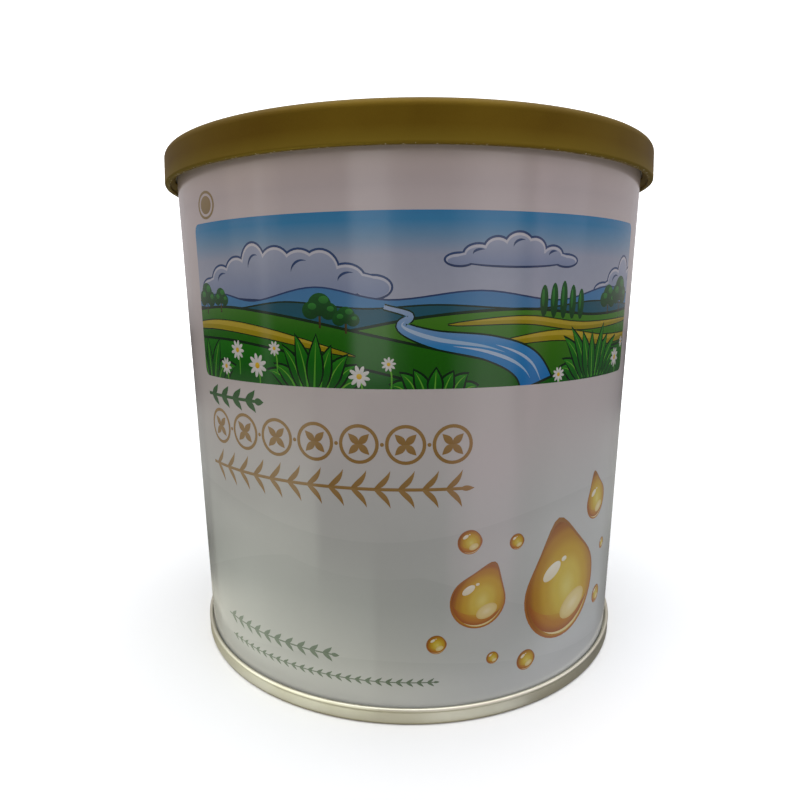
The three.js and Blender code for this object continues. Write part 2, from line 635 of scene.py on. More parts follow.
def smooth_line(knots: Sequence[Point], steps: int = 8) -> Outline:
    """A smooth line through a few knots, as a Catmull-Rom spline.

    Args:
        knots: the points that the line runs through.
        steps: how many points each stretch between two knots gets.

    Returns:
        The line's points, ends included.
    """
    first, last = Vector(knots[0]), Vector(knots[-1])
    grown = [first * 2 - Vector(knots[1]), *map(Vector, knots), last * 2 - Vector(knots[-2])]
    line: Outline = []
    for a, b, c, d in zip(grown, grown[1:], grown[2:], grown[3:]):
        for i in range(steps):
            t = i / steps
            square, cube = a * 2 - b * 5 + c * 4 - d, b * 3 - a - c * 3 + d
            point = (b * 2 + (c - a) * t + square * t**2 + cube * t**3) / 2
            line.append((point.x, point.y))
    line.append(tuple(last))
    return line


def ribbon(line: Sequence[Point], half_width: Callable[[float], float]) -> Outline:
    """The outline of a stroke along a line.

    Args:
        line: the stroke's middle.
        half_width: half the stroke's width, given the place along it from 0 to 1.

    Returns:
        The outline, down one side and back up the other.
    """
    left: Outline = []
    right: Outline = []
    last = len(line) - 1
    for i, (x, y) in enumerate(line):
        before, after = line[max(i - 1, 0)], line[min(i + 1, last)]
        run = Vector((after[0] - before[0], after[1] - before[1])).normalized()
        half = half_width(i / last)
        if half == 0.0:
            left.append((x, y))
            continue
        left.append((x - run.y * half, y + run.x * half))
        right.append((x + run.y * half, y - run.x * half))
    return left + right[::-1]


def leaf(foot: Point, tip: Point, width: float, bend: float, steps: int = 9) -> Outline:
    """The outline of a pointed leaf round its rib, given the leaf's greatest width."""
    middle = leaf_rib(foot, tip, bend, steps)
    return ribbon(middle, lambda t: 0.0 if t in (0.0, 1.0) else width / 2 * math.sin(math.pi * t**0.8))


def leaf_rib(foot: Point, tip: Point, bend: float, steps: int = 9) -> Outline:
    """The bowed line down the middle of a leaf.

    Args:
        foot: where the leaf grows from.
        tip: its point.
        bend: how far its middle bows out to the left of the way from foot to tip.
        steps: how many stretches its sides have.

    Returns:
        The line, from foot to tip.
    """
    run = Vector(tip) - Vector(foot)
    side = Vector((-run.y, run.x)).normalized() * bend
    line: Outline = []
    for i in range(steps + 1):
        t = i / steps
        point = Vector(foot) + run * t + side * (4 * t * (1 - t))
        line.append((point.x, point.y))
    return line


def teardrop(centre: Point, radius: float, tail: float, turn: float, steps: int = 40) -> Outline:
    """A round drop drawn out to a soft point.

    Args:
        centre: the middle of the round part.
        radius: the round part's radius.
        tail: how far the point stands from the centre.
        turn: the direction of the point, in degrees from the right.
        steps: how many points the outline has.

    Returns:
        The outline.
    """
    outline: Outline = []
    for i in range(steps):
        angle = 2 * math.pi * i / steps
        towards = max(math.cos(angle), 0.0)
        x = radius * math.cos(angle) + (tail - radius) * towards**6
        y = radius * math.sin(angle) * (1 - 0.25 * towards**3)
        outline.append(set_down(x, y, centre, turn))
    return outline


@dataclass(frozen=True)
class Field:
    """Where an ink's colour stops lie on one shape: its own origin, reach and turn on the sheet."""

    origin: Point
    reach: Point
    turn: float = 0.0

    @classmethod
    def over(cls, outline: Outline) -> Field:
        """The field that spans an outline's box."""
        xs, ys = zip(*outline)
        return cls((min(xs), min(ys)), (max(xs) - min(xs), max(ys) - min(ys)))

    def moved(self, shift: Point) -> Field:
        """The same field, shifted on the sheet."""
        return Field((self.origin[0] + shift[0], self.origin[1] + shift[1]), self.reach, self.turn)

    def at(self, point: Point) -> Vec3:
        """Finds a point of the sheet in the field's own coordinates.

        Args:
            point: the point on the sheet.

        Returns:
            The place along the field and up it, each as a share of its reach, and 0.
        """
        x, y = point[0] - self.origin[0], point[1] - self.origin[1]
        cos_turn, sin_turn = math.cos(math.radians(self.turn)), math.sin(math.radians(self.turn))
        return (
            (x * cos_turn + y * sin_turn) / self.reach[0],
            (y * cos_turn - x * sin_turn) / self.reach[1],
            0.0,
        )


@dataclass(frozen=True)
class Patch:
    """One shape of ink on the sheet, and the number of the shape that trims it, if any."""

    outline: Outline
    ink: Ink
    field: Field | Swell
    inside: int | None


class PrintSheet:
    """The flat artwork of the whole wall, painted shape over shape and then cut into triangles."""

    def __init__(self, low: Point, high: Point, columns: int, rows: int) -> None:
        """Starts a bare sheet.

        Args:
            low: the sheet's lower left corner.
            high: its upper right corner.
            columns: how many strips it is cut into along u, so that it rolls up round.
            rows: how many strips it is cut into along v.
        """
        self.low, self.high = low, high
        self.whole = Field(low, (high[0] - low[0], high[1] - low[1]))
        self.columns, self.rows = columns, rows
        self.patches: list[Patch] = []
        self.lay(rectangle(low, high), Ink.ENAMEL)

    def lay(
        self,
        outline: Outline,
        ink: Ink,
        field: Field | Swell | None = None,
        inside: int | None = None,
    ) -> int:
        """Paints a shape over what is there.

        Args:
            outline: the closed shape.
            ink: its ink.
            field: how the ink's colours spread; over the shape's box if not given, or over
                the whole sheet for the white.
            inside: the number of an earlier shape that trims this one.

        Returns:
            The new shape's number.
        """
        turns = sum(a[0] * b[1] - b[0] * a[1] for a, b in zip(outline, outline[1:] + outline[:1]))
        ordered = outline if turns > 0 else outline[::-1]
        own = self.whole if ink is Ink.ENAMEL else Field.over(outline)
        self.patches.append(Patch(ordered, ink, field or own, inside))
        return len(self.patches) - 1

    def cut(self) -> list[tuple[Outline, Patch]]:
        """Cuts the sheet along every outline and grid line.

        Returns:
            Each triangle's corners, with the patch that shows there.
        """
        points: list[Vector] = []
        edges: list[tuple[int, int]] = []
        faces: list[list[int]] = []
        for patch in self.patches:
            faces.append(list(range(len(points), len(points) + len(patch.outline))))
            points += [Vector(p) for p in patch.outline]
        width, height = self.high[0] - self.low[0], self.high[1] - self.low[1]
        for i in range(1, self.columns):
            u = self.low[0] + width * i / self.columns
            edges.append((len(points), len(points) + 1))
            points += [Vector((u, self.low[1])), Vector((u, self.high[1]))]
        for i in range(1, self.rows):
            v = self.low[1] + height * i / self.rows
            edges.append((len(points), len(points) + 1))
            points += [Vector((self.low[0], v)), Vector((self.high[0], v))]
        corners, _, triangles, _, _, sources = delaunay_2d_cdt(points, edges, faces, 0, 1e-4, True)
        cut: list[tuple[Outline, Patch]] = []
        for triangle, over in zip(triangles, sources):
            for number in sorted(set(over), reverse=True):
                patch = self.patches[number]
                if patch.inside is None or patch.inside in over:
                    cut.append(([tuple(corners[i]) for i in triangle], patch))
                    break
        return cut


@dataclass
class Panel:
    """A part of the artwork, drawn from its own origin on the sheet."""

    sheet: PrintSheet
    origin: Point
    frame: int | None = None

    def paint(self, outline: Outline, ink: Ink, field: Field | None = None) -> int:
        """Paints a shape given from the panel's origin, trimmed to its frame, and returns its number."""
        shifted = [(x + self.origin[0], y + self.origin[1]) for x, y in outline]
        return self.sheet.lay(shifted, ink, field.moved(self.origin) if field else None, self.frame)

    def stroke(self, knots: Sequence[Point], width: float, ink: Ink) -> None:
        """Paints a smooth line of even width."""
        self.paint(ribbon(smooth_line(knots), lambda t: width / 2), ink)


@dataclass
class MeadowPicture(Panel):
    """The picture band: a made-up meadow with clouds, hills, a river, fields, trees, grass and daisies."""

    width: float = 71.0
    height: float = 20.35
    corner: float = 1.1
    seed: int = 11
    cloud_edge: float = 0.27
    cloud_rim: float = 0.3
    ridge_line: float = 0.1
    crest_line: float = 0.17
    field_line: float = 0.13
    blade_edge: float = 0.5
    blade_gap: float = 0.35
    petals: int = 9

    def draw(self) -> None:
        """Paints the picture from the sky forward."""
        self.chance = random.Random(self.seed)
        self.frame = self.paint(rounded_box((0.0, 0.0), (self.width, self.height), self.corner), Ink.SKY)
        self.clouds()
        self.ridges()
        self.hills()
        self.fields()
        self.trees()
        self.river()
        self.foreground()

    def clouds(self) -> None:
        """Paints a bank of outlined cloud behind the left hills, and two smaller ones."""
        self.cloud(16.5, 11.2, 15.5, 6.2, 9)
        self.cloud(46.5, 14.6, 8.8, 3.1, 7)
        self.cloud(68.5, 10.8, 7.5, 4.6, 5)

    def cloud(self, x: float, y: float, reach: float, rise: float, count: int) -> None:
        """Paints one cloud: one dark edge round all its puffs, a pale rim, their fill and a few inner curls.

        Args:
            x: the middle of its foot.
            y: the height of its foot.
            reach: half its length.
            rise: its height.
            count: how many puffs stand along it.
        """
        edge, rim = self.cloud_edge, self.cloud_rim
        puffs = [(x, y + rise * 0.2, reach * 0.9, rise * 0.3)]
        for i in range(count):
            t = 2 * i / (count - 1) - 1
            swell = (1 - abs(t) ** 1.7) * self.chance.uniform(0.7, 1.0)
            wide = reach / count * self.chance.uniform(1.15, 1.5)
            px = x + reach * 0.84 * t + self.chance.uniform(-0.3, 0.3)
            puffs.append((px, y + rise * (0.12 + 0.5 * swell), wide, rise * (0.2 + 0.28 * swell)))
        span = Field((0.0, y - rise * 0.1), (1.0, rise * 1.2))
        for ink, field, sink, narrow, low in (
            (Ink.CLOUD_EDGE, None, 0.0, -edge, -edge),
            (Ink.CLOUD_RIM, span, 0.0, 0.0, 0.0),
            (Ink.CLOUD, span, rim / 2, rim * 0.6, rim / 2),
        ):
            for px, py, wide, tall in puffs:
                puff = round_points((px, py - sink), (wide - narrow, tall - low), steps=32)
                self.paint(puff, ink, field)
        for px, py, wide, tall in puffs[2:-1:2]:
            middle, radii = (px + wide * 0.2, py - tall * 0.1), (wide * 0.62, tall * 0.6)
            curl = round_points(middle, radii, start=70, end=190, steps=9)
            self.paint(ribbon(curl, lambda t: 0.14 * math.sin(math.pi * t) + 0.01), Ink.CLOUD_EDGE)

    def ground(
        self, crest: Sequence[Point], ink: Ink, edge: Ink = Ink.CREST, line: float | None = None
    ) -> None:
        """Paints the land below a crest line, with a darker line along it.

        Args:
            crest: knots of the crest, from left to right.
            ink: the land's ink.
            edge: the crest line's ink.
            line: half the crest line's width, if it isn't a hill's.
        """
        half = self.crest_line if line is None else line
        top = smooth_line(crest)
        low = min(0.0, *(y for _, y in top)) - 1.0
        self.paint([*top, (top[-1][0], low), (top[0][0], low)], ink)
        self.paint(ribbon(top, lambda t: half), edge)

    def ridges(self) -> None:
        """Paints two far ridges across the whole picture."""
        far = [(-2, 10.0), (6, 11.3), (13, 10.4), (22, 12.0), (31, 10.5)]
        far += [(42, 11.5), (53, 10.3), (63, 11.9), (73, 10.8)]
        near = [(-2, 9.6), (9, 9.4), (18, 10.3), (28, 9.5), (37, 9.9), (49, 9.3), (60, 10.1), (73, 9.4)]
        self.ground(far, Ink.FAR_RIDGE, Ink.CLOUD_EDGE, self.ridge_line)
        self.ground(near, Ink.NEAR_RIDGE, line=self.ridge_line)

    def hills(self) -> None:
        """Paints the meadow's hills, from the far ones to the near ones."""
        self.ground([(24, 6.5), (36, 8.6), (48, 9.3), (60, 8.4), (73, 9.0)], Ink.HILL_FAR)
        self.ground([(-2, 9.1), (8, 9.6), (19, 8.4), (30, 6.2), (42, 3.6), (52, 1.6)], Ink.HILL_MID)

    def fields(self) -> None:
        """Paints strips of ripe corn on the far hills."""
        for knots, width in (
            ([(38, 7.6), (48, 8.0), (58, 7.0), (74, 7.6)], 1.0),
            ([(42, 5.0), (53, 6.0), (63, 5.0), (78, 5.4)], 1.35),
            ([(-6, 6.6), (5, 7.3), (15, 6.4), (27, 3.9)], 1.3),
        ):
            line = smooth_line(knots)
            self.paint(ribbon(line, lambda t, w=width: w * self.swell(t) + self.field_line), Ink.CREST)
            self.paint(ribbon(line, lambda t, w=width: w * self.swell(t)), Ink.OCHRE)
            light = [(x, y + width * 0.2) for x, y in line[2:-2]]
            self.paint(ribbon(light, lambda t, w=width: w * 0.45 * self.swell(t)), Ink.OCHRE_LIGHT)

    @staticmethod
    def swell(t: float) -> float:
        """Half the width of a strip of field, as a share of its greatest, from its tip to its other tip."""
        return 0.5 * math.sin(math.pi * t) ** 0.6 if 0.0 < t < 1.0 else 0.0

    def trees(self) -> None:
        """Paints round trees and a row of poplars along the far hills."""
        for x, y, size in (
            (2.4, 9.0, 1.9),
            (6.2, 9.3, 1.4),
            (22.6, 7.6, 1.9),
            (25.9, 7.0, 1.4),
            (63.6, 8.6, 1.8),
            (67.6, 8.8, 2.3),
        ):
            self.paint(ribbon([(x, y - 0.4), (x, y + size)], lambda t: 0.14), Ink.TRUNK)
            for dx, dy, scale in ((-0.6, 0.9, 0.62), (0.62, 0.85, 0.6), (0.0, 1.25, 0.8)):
                middle = (x + dx * size, y + dy * size)
                self.paint(round_points(middle, (size * scale, size * scale * 0.9)), Ink.TREE)
            for dx, dy, scale in ((-0.5, 1.15, 0.3), (0.3, 1.55, 0.34), (0.75, 1.0, 0.24)):
                middle = (x + dx * size, y + dy * size)
                self.paint(round_points(middle, (size * scale, size * scale * 0.7), steps=16), Ink.TREE_LIGHT)
        for i in range(5):
            x, y = 50.6 + 1.6 * i, 8.7 - 0.12 * i
            tall = 2.3 - 0.2 * abs(i - 2)
            self.paint(round_points((x, y + tall * 0.8), (0.62, tall)), Ink.TREE)
            self.paint(round_points((x - 0.16, y + tall), (0.2, tall * 0.55), steps=14), Ink.TREE_LIGHT)

    def river(self) -> None:
        """Paints a river that winds down from the far ridge and widens towards the front."""
        knots = [(30.5, 9.7), (33.6, 8.7), (32.6, 7.4), (36.5, 5.9), (43.5, 4.7), (48.5, 2.4), (51.0, -2.0)]
        line = smooth_line(knots, 10)
        field = Field((0.0, -1.5), (self.width, 11.0))
        for spring, mouth, ink, tones in ((0.4, 2.5, Ink.CREST, None), (0.22, 2.4, Ink.RIVER, field)):
            self.paint(ribbon(line, lambda t, s=spring, m=mouth: s + m * t**1.7), ink, tones)
        for first, last, side, width in ((16, 44, 0.12, 0.24), (34, 54, -0.75, 0.2), (40, 57, 0.9, 0.16)):
            glint = [(x + side * 0.6, y + side * 0.5) for x, y in line[first:last]]
            self.paint(ribbon(glint, lambda t, w=width: w * math.sin(math.pi * t) + 0.01), Ink.GLINT)

    def foreground(self) -> None:
        """Paints the near hills, tufts of grass and daisies."""
        self.ground([(-2, 5.4), (9, 5.3), (20, 3.9), (31, 1.7), (40, -0.8)], Ink.HILL_NEAR)
        self.ground([(47, -0.8), (55, 1.6), (63, 3.6), (73, 4.4)], Ink.HILL_NEAR)
        for x, y, blades, tall in (
            (21.5, -0.8, 9, 7.6),
            (60.5, -0.6, 11, 8.6),
            (36.5, -1.0, 7, 4.6),
            (2.0, -0.6, 7, 7.0),
        ):
            self.tuft(x, y, blades, tall)
        for x, y, size in (
            (9.2, 4.1, 1.25),
            (12.9, 2.3, 1.5),
            (6.4, 1.8, 1.15),
            (15.9, 4.6, 0.9),
            (27.4, 1.5, 1.3),
            (31.0, 3.0, 0.85),
            (67.4, 2.2, 1.35),
            (70.0, 4.2, 0.8),
            (53.6, 1.0, 0.95),
        ):
            self.daisy(x, y, size)

    def tuft(self, x: float, y: float, blades: int, tall: float) -> None:
        """Paints a fan of grass blades, each edged dark and with a light rib.

        Args:
            x: the middle of its foot.
            y: the height of its foot.
            blades: how many blades it has.
            tall: the longest blade's length.
        """
        order = sorted(range(blades), key=lambda i: abs(i - (blades - 1) / 2), reverse=True)
        for i in order:
            t = 2 * i / (blades - 1) - 1
            length = tall * (1 - 0.38 * t * t) * self.chance.uniform(0.8, 1.08)
            lean = math.radians(90 - 58 * t + self.chance.uniform(-5, 5))
            foot = (x + 3.2 * t, y)
            tip = (foot[0] + length * math.cos(lean), foot[1] + length * math.sin(lean))
            bend = 0.16 * length * t
            wide = self.chance.uniform(1.4, 2.0)
            self.paint(leaf(foot, tip, wide + self.blade_edge, bend), Ink.BLADE_EDGE)
            gap = self.blade_gap
            inner_tip = (tip[0] - gap * math.cos(lean), tip[1] - gap * math.sin(lean))
            self.paint(leaf(foot, inner_tip, wide, bend), Ink.BLADE)
            rib = leaf_rib(foot, inner_tip, bend)[1:-1]
            self.paint(ribbon(rib, lambda t: 0.13 * (1.1 - t)), Ink.BLADE_RIB)

    def daisy(self, x: float, y: float, size: float) -> None:
        """Paints a daisy on its stem.

        Args:
            x: the flower's middle.
            y: the flower's height.
            size: the flower's radius.
        """
        self.stroke([(x + 0.3, y - 3.2), (x + 0.35, y - 1.4), (x, y)], 0.2, Ink.BLADE_RIB)
        for i in range(self.petals):
            angle = 360 * i / self.petals + 17 * x
            way = (math.cos(math.radians(angle)), math.sin(math.radians(angle)))
            middle = (x + size * 0.6 * way[0], y + size * 0.6 * way[1])
            self.paint(round_points(middle, (size * 0.46, size * 0.19), angle, steps=12), Ink.PETAL)
        self.paint(round_points((x, y), (size * 0.27, size * 0.27), steps=14), Ink.POLLEN)


@dataclass
class Garlands(Panel):
    """Rows of plain leaf and ring ornament, large in gold and small in grey-green."""

    ring_outer: float = 2.55
    ring_inner: float = 2.1
    flower_reach: float = 1.9
    flower_leaf: float = 0.95
    dot: float = 0.26

    def draw(self) -> None:
        """Paints the badge, both gold rows, and the green and grey-green sprigs."""
        self.badge((-29.2, 69.0))
        self.sprig((-32.6, 44.0), 13.0, 4, 1.0, 1.55, Ink.GREEN)
        self.rosettes((-32.4, 39.6), 41.0, 7)
        self.sprig((-32.6, 33.8), 41.2, 13, 0.74, 2.5, Ink.GOLD)
        self.sprig((-31.4, 9.5), 22.0, 10, 0.62, 1.15, Ink.GREY_GREEN, 0.11)
        self.sprig((-30.6, 6.2), 35.0, 24, 0.36, 0.68, Ink.GREY_GREEN, 0.08)

    def badge(self, middle: Point) -> None:
        """Paints a small plain medallion."""
        for size, ink in ((1.75, Ink.BADGE), (1.42, Ink.ENAMEL), (1.12, Ink.BADGE)):
            self.paint(round_points(middle, (size * 1.25, size)), ink)

    def sprig(
        self,
        start: Point,
        length: float,
        pairs: int,
        width: float,
        reach: float,
        ink: Ink,
        half_stem: float = 0.22,
    ) -> None:
        """Paints a straight stem with leaves in pairs.

        Args:
            start: the stem's left end.
            length: the stem's length.
            pairs: how many pairs of leaves it has.
            width: the leaves' width.
            reach: how far a leaf stands from the stem's line.
            ink: the ink of all of it.
            half_stem: half the stem's width.
        """
        u, v = start
        pitch = length / (pairs + 0.6)
        self.paint(ribbon([(u, v), (u + length - pitch * 0.5, v)], lambda t: half_stem), ink)
        for i in range(pairs):
            foot = (u + pitch * (i + 0.35), v)
            for side in (1, -1):
                tip = (foot[0] + pitch * 0.72, v + side * reach)
                self.paint(leaf(foot, tip, width, -side * reach * 0.14), ink)
        self.paint(leaf((u + length - pitch * 0.62, v), (u + length, v), width, 0.0), ink)

    def rosettes(self, start: Point, length: float, count: int) -> None:
        """Paints a row of rings, each round a four-leaved flower, with dots between.

        Args:
            start: the left end of the row, at its middle height.
            length: the row's length.
            count: how many rings it has.
        """
        pitch = length / count
        for i in range(count):
            middle = (start[0] + pitch * (i + 0.5), start[1])
            self.paint(round_points(middle, (self.ring_outer, self.ring_outer), steps=36), Ink.GOLD)
            self.paint(round_points(middle, (self.ring_inner, self.ring_inner), steps=32), Ink.ENAMEL)
            reach = self.flower_reach
            for quarter in range(4):
                angle = math.radians(45 + 90 * quarter)
                tip = (middle[0] + reach * math.cos(angle), middle[1] + reach * math.sin(angle))
                self.paint(leaf(middle, tip, self.flower_leaf, 0.0), Ink.GOLD)
            if i:
                between = (middle[0] - pitch / 2, middle[1])
                self.paint(round_points(between, (self.dot, self.dot), steps=12), Ink.GOLD)


@dataclass
class GoldDrops(Panel):
    """Separate drops and beads of golden oil, with their shine painted on."""

    def draw(self) -> None:
        """Paints every drop, the small ones first."""
        for u, v, radius in (
            (8.2, 26.4, 1.7),
            (3.9, 11.9, 1.4),
            (15.0, 25.6, 1.15),
            (17.4, 7.2, 1.6),
            (34.2, 11.8, 1.5),
            (11.9, 8.9, 0.95),
            (35.2, 20.0, 0.95),
        ):
            self.drop(u, v, radius, radius, 0.0)
        self.drop(9.6, 17.8, 4.0, 5.9, 68.0)
        self.drop(31.6, 28.0, 2.9, 4.9, 105.0)
        self.drop(24.2, 16.4, 7.6, 11.4, 100.0)

    def drop(self, u: float, v: float, radius: float, tail: float, turn: float) -> None:
        """Paints one drop, with its dark rim, its glow and its shine.

        Args:
            u: the middle of its round part.
            v: the height of that middle.
            radius: the round part's radius.
            tail: how far its point stands from the middle.
            turn: the direction of its point, in degrees.
        """
        rim = 0.035 * radius + 0.07
        self.paint(teardrop((u, v), radius, tail, turn), Ink.OIL_EDGE)
        ahead = Vector((math.cos(math.radians(turn)), math.sin(math.radians(turn))))
        aside = (tail - radius) * 0.16
        middle = (u + ahead.x * aside + radius * 0.1, v + ahead.y * aside - radius * 0.06)
        light = Field(middle, (radius * 1.02 + (tail - radius) * 0.78, radius * 1.06), turn)
        self.paint(teardrop((u, v), radius - rim, tail - rim * 2.2, turn), Ink.OIL, light)
        self.crescent(u, v, radius)
        glow = (u + radius * 0.3, v - radius * 0.4)
        reach = (radius * 0.4, radius * 0.25)
        self.paint(round_points(glow, reach, 24), Ink.OIL_GLOW, Field(glow, reach, 24))
        shine = (u - radius * 0.36, v + radius * 0.44)
        self.paint(round_points(shine, (radius * 0.25, radius * 0.13), 34), Ink.OIL_SHINE)
        spark = (u - radius * 0.05, v + radius * 0.62)
        self.paint(round_points(spark, (radius * 0.07, radius * 0.05), 12, steps=12), Ink.OIL_SHINE)

    def crescent(self, u: float, v: float, radius: float, steps: int = 24) -> None:
        """Paints the deep crescent at a drop's foot, and the thin lit line along its lower right edge.

        Args:
            u: the middle of the drop's round part.
            v: the height of that middle.
            radius: the round part's radius.
            steps: how many stretches the crescent is cut into.
        """
        upper: Outline = []
        lower: Outline = []
        for i in range(steps + 1):
            share = i / steps
            angle = math.radians(185 + 150 * share)
            way = (math.cos(angle), math.sin(angle))
            depth = radius * (0.9 - 0.4 * math.sin(math.pi * share))
            upper.append((u + way[0] * depth, v + way[1] * depth))
            lower.append((u + way[0] * radius * 0.9, v + way[1] * radius * 0.9))
        tones = Field((u, v), (radius * 0.92, radius * 0.92))
        self.paint(upper + lower[-2:0:-1], Ink.OIL_DEEP, tones)
        lit = lower[steps // 3 :]
        self.paint(ribbon(lit, lambda t: radius * 0.03 * math.sin(math.pi * t)), Ink.OIL_GLOW)


@dataclass(frozen=True)
class Swell:
    """A broad wave along the sheet, as a field: X fades across it, and Y is the white's own height.

    It runs from start to end at its level, and rises and falls over its length from its phase at the
    middle. Its half is half its greatest width.
    """

    sheet_foot: float
    sheet_height: float
    middle: float
    start: float
    end: float
    level: float
    rise: float
    length: float
    phase: float
    half: float

    def crest(self, u: float) -> float:
        """The height of the wave's middle line."""
        angle = 2 * math.pi * (u - self.middle) / self.length + self.phase
        return self.level + self.rise * math.sin(angle)

    def half_width(self, u: float) -> float:
        """Half the wave's width, which runs out to nothing at both ends."""
        share = (u - self.start) / (self.end - self.start)
        return self.half * math.sin(math.pi * min(max(share, 0.0), 1.0)) + 0.01

    def outline(self, steps: int = 64) -> Outline:
        """Draws the wave's outline.

        Args:
            steps: how many stretches each side has.

        Returns:
            The outline on the sheet.
        """
        us = [self.start + (self.end - self.start) * i / steps for i in range(steps + 1)]
        low = [(u, self.crest(u) - self.half_width(u)) for u in us]
        high = [(u, self.crest(u) + self.half_width(u)) for u in us]
        return low + high[::-1]

    def at(self, point: Point) -> Vec3:
        """Finds a point of the sheet in the wave's own coordinates.

        Args:
            point: the point on the sheet.

        Returns:
            The share of the wave's width below the point, the share of the sheet below it, and 0.
        """
        u, v = point
        across = (v - self.crest(u) + self.half_width(u)) / (2 * self.half_width(u))
        return across, (v - self.sheet_foot) / self.sheet_height, 0.0


@dataclass
class Waves(Panel):
    """Faint broad waves over the lower wall, each soft below and clear above, a little off the white."""

    def draw(self) -> None:
        """Paints three waves of changing width."""
        foot = self.sheet.low[1]
        height = self.sheet.high[1] - foot
        middle = self.origin[0]
        for start, end, *form in (
            (-46.0, 46.0, 15.0, 5.5, 92.0, 2.4, 3.6),
            (-44.0, 40.0, 27.0, 3.0, 76.0, -1.2, 2.6),
            (-42.0, 46.0, 6.0, 1.6, 84.0, 2.0, 1.9),
        ):
            swell = Swell(foot, height, middle, middle + start, middle + end, *form)
            self.sheet.lay(swell.outline(), Ink.WAVE, swell)


@dataclass
class FactsTable(Panel):
    """A plain ruled table of bars, as the sides of such tins carry."""

    width: float = 30.0
    height: float = 46.0
    lines: int = 11
    frame_line: float = 0.3
    head: float = 4.5
    head_gap: float = 0.6
    foot_gap: float = 1.4
    rule_inset: float = 1.2
    rule_height: float = 0.14
    bar_foot: float = 1.1
    bar_top: float = 2.0
    bar_corner: float = 0.3
    bar_inset: float = 1.8

    def draw(self) -> None:
        """Paints the frame, its green head, the rules and the bars."""
        line, wide, tall = self.frame_line, self.width, self.height
        self.paint(rounded_box((0.0, 0.0), (wide, tall), 0.8), Ink.GREEN)
        self.paint(rounded_box((line, line), (wide - line, tall - line), 0.6), Ink.ENAMEL)
        self.paint(rectangle((line, tall - self.head), (wide - line, tall - self.head_gap)), Ink.GREEN)
        pitch = (tall - 6.5) / self.lines
        for i in range(self.lines):
            v = self.foot_gap + pitch * i
            right = wide - self.rule_inset
            self.paint(rectangle((self.rule_inset, v), (right, v + self.rule_height)), Ink.GREY_GREEN)
            long = 8.0 + 4.0 * ((i * 7) % 3)
            for start, end in ((self.bar_inset, self.bar_inset + long), (wide - 7.2, wide - 2.2)):
                low, high = (start, v + self.bar_foot), (end, v + self.bar_top)
                self.paint(rounded_box(low, high, self.bar_corner), Ink.GREY_GREEN)


# Meshes


class Profile:
    """A turned piece's section, drawn anticlockwise as straight and round stretches of radius and height."""

    def __init__(self, radius: float, height: float) -> None:
        """Starts the section at a point."""
        self.points: list[Point] = [(radius, height)]
        self.normals: list[tuple[Point, Point]] = []

    def line(self, radius: float, height: float) -> Profile:
        """Draws a straight stretch.

        Args:
            radius: its end's distance from the axis.
            height: its end's height.

        Returns:
            The profile.
        """
        before = self.points[-1]
        run = Vector((radius - before[0], height - before[1])).normalized()
        self.points.append((radius, height))
        self.normals.append(((run.y, -run.x), (run.y, -run.x)))
        return self

    def arc(self, centre: Point, size: float, start: float, end: float, steps: int = 8) -> Profile:
        """Draws an arc, with a line to its start if the profile isn't there yet.

        Args:
            centre: the arc's centre, as radius and height.
            size: the arc's own radius.
            start: its first angle in degrees.
            end: its last angle; less than start for a hollow.
            steps: how many stretches it is cut into.

        Returns:
            The profile.
        """
        side = 1.0 if end > start else -1.0
        angles = [math.radians(start + (end - start) * i / steps) for i in range(steps + 1)]
        first = (centre[0] + size * math.cos(angles[0]), centre[1] + size * math.sin(angles[0]))
        if math.dist(first, self.points[-1]) > 1e-6:
            self.line(*first)
        for a, b in zip(angles, angles[1:]):
            self.points.append((centre[0] + size * math.cos(b), centre[1] + size * math.sin(b)))
            first, last = ((side * math.cos(angle), side * math.sin(angle)) for angle in (a, b))
            self.normals.append((first, last))
        return self


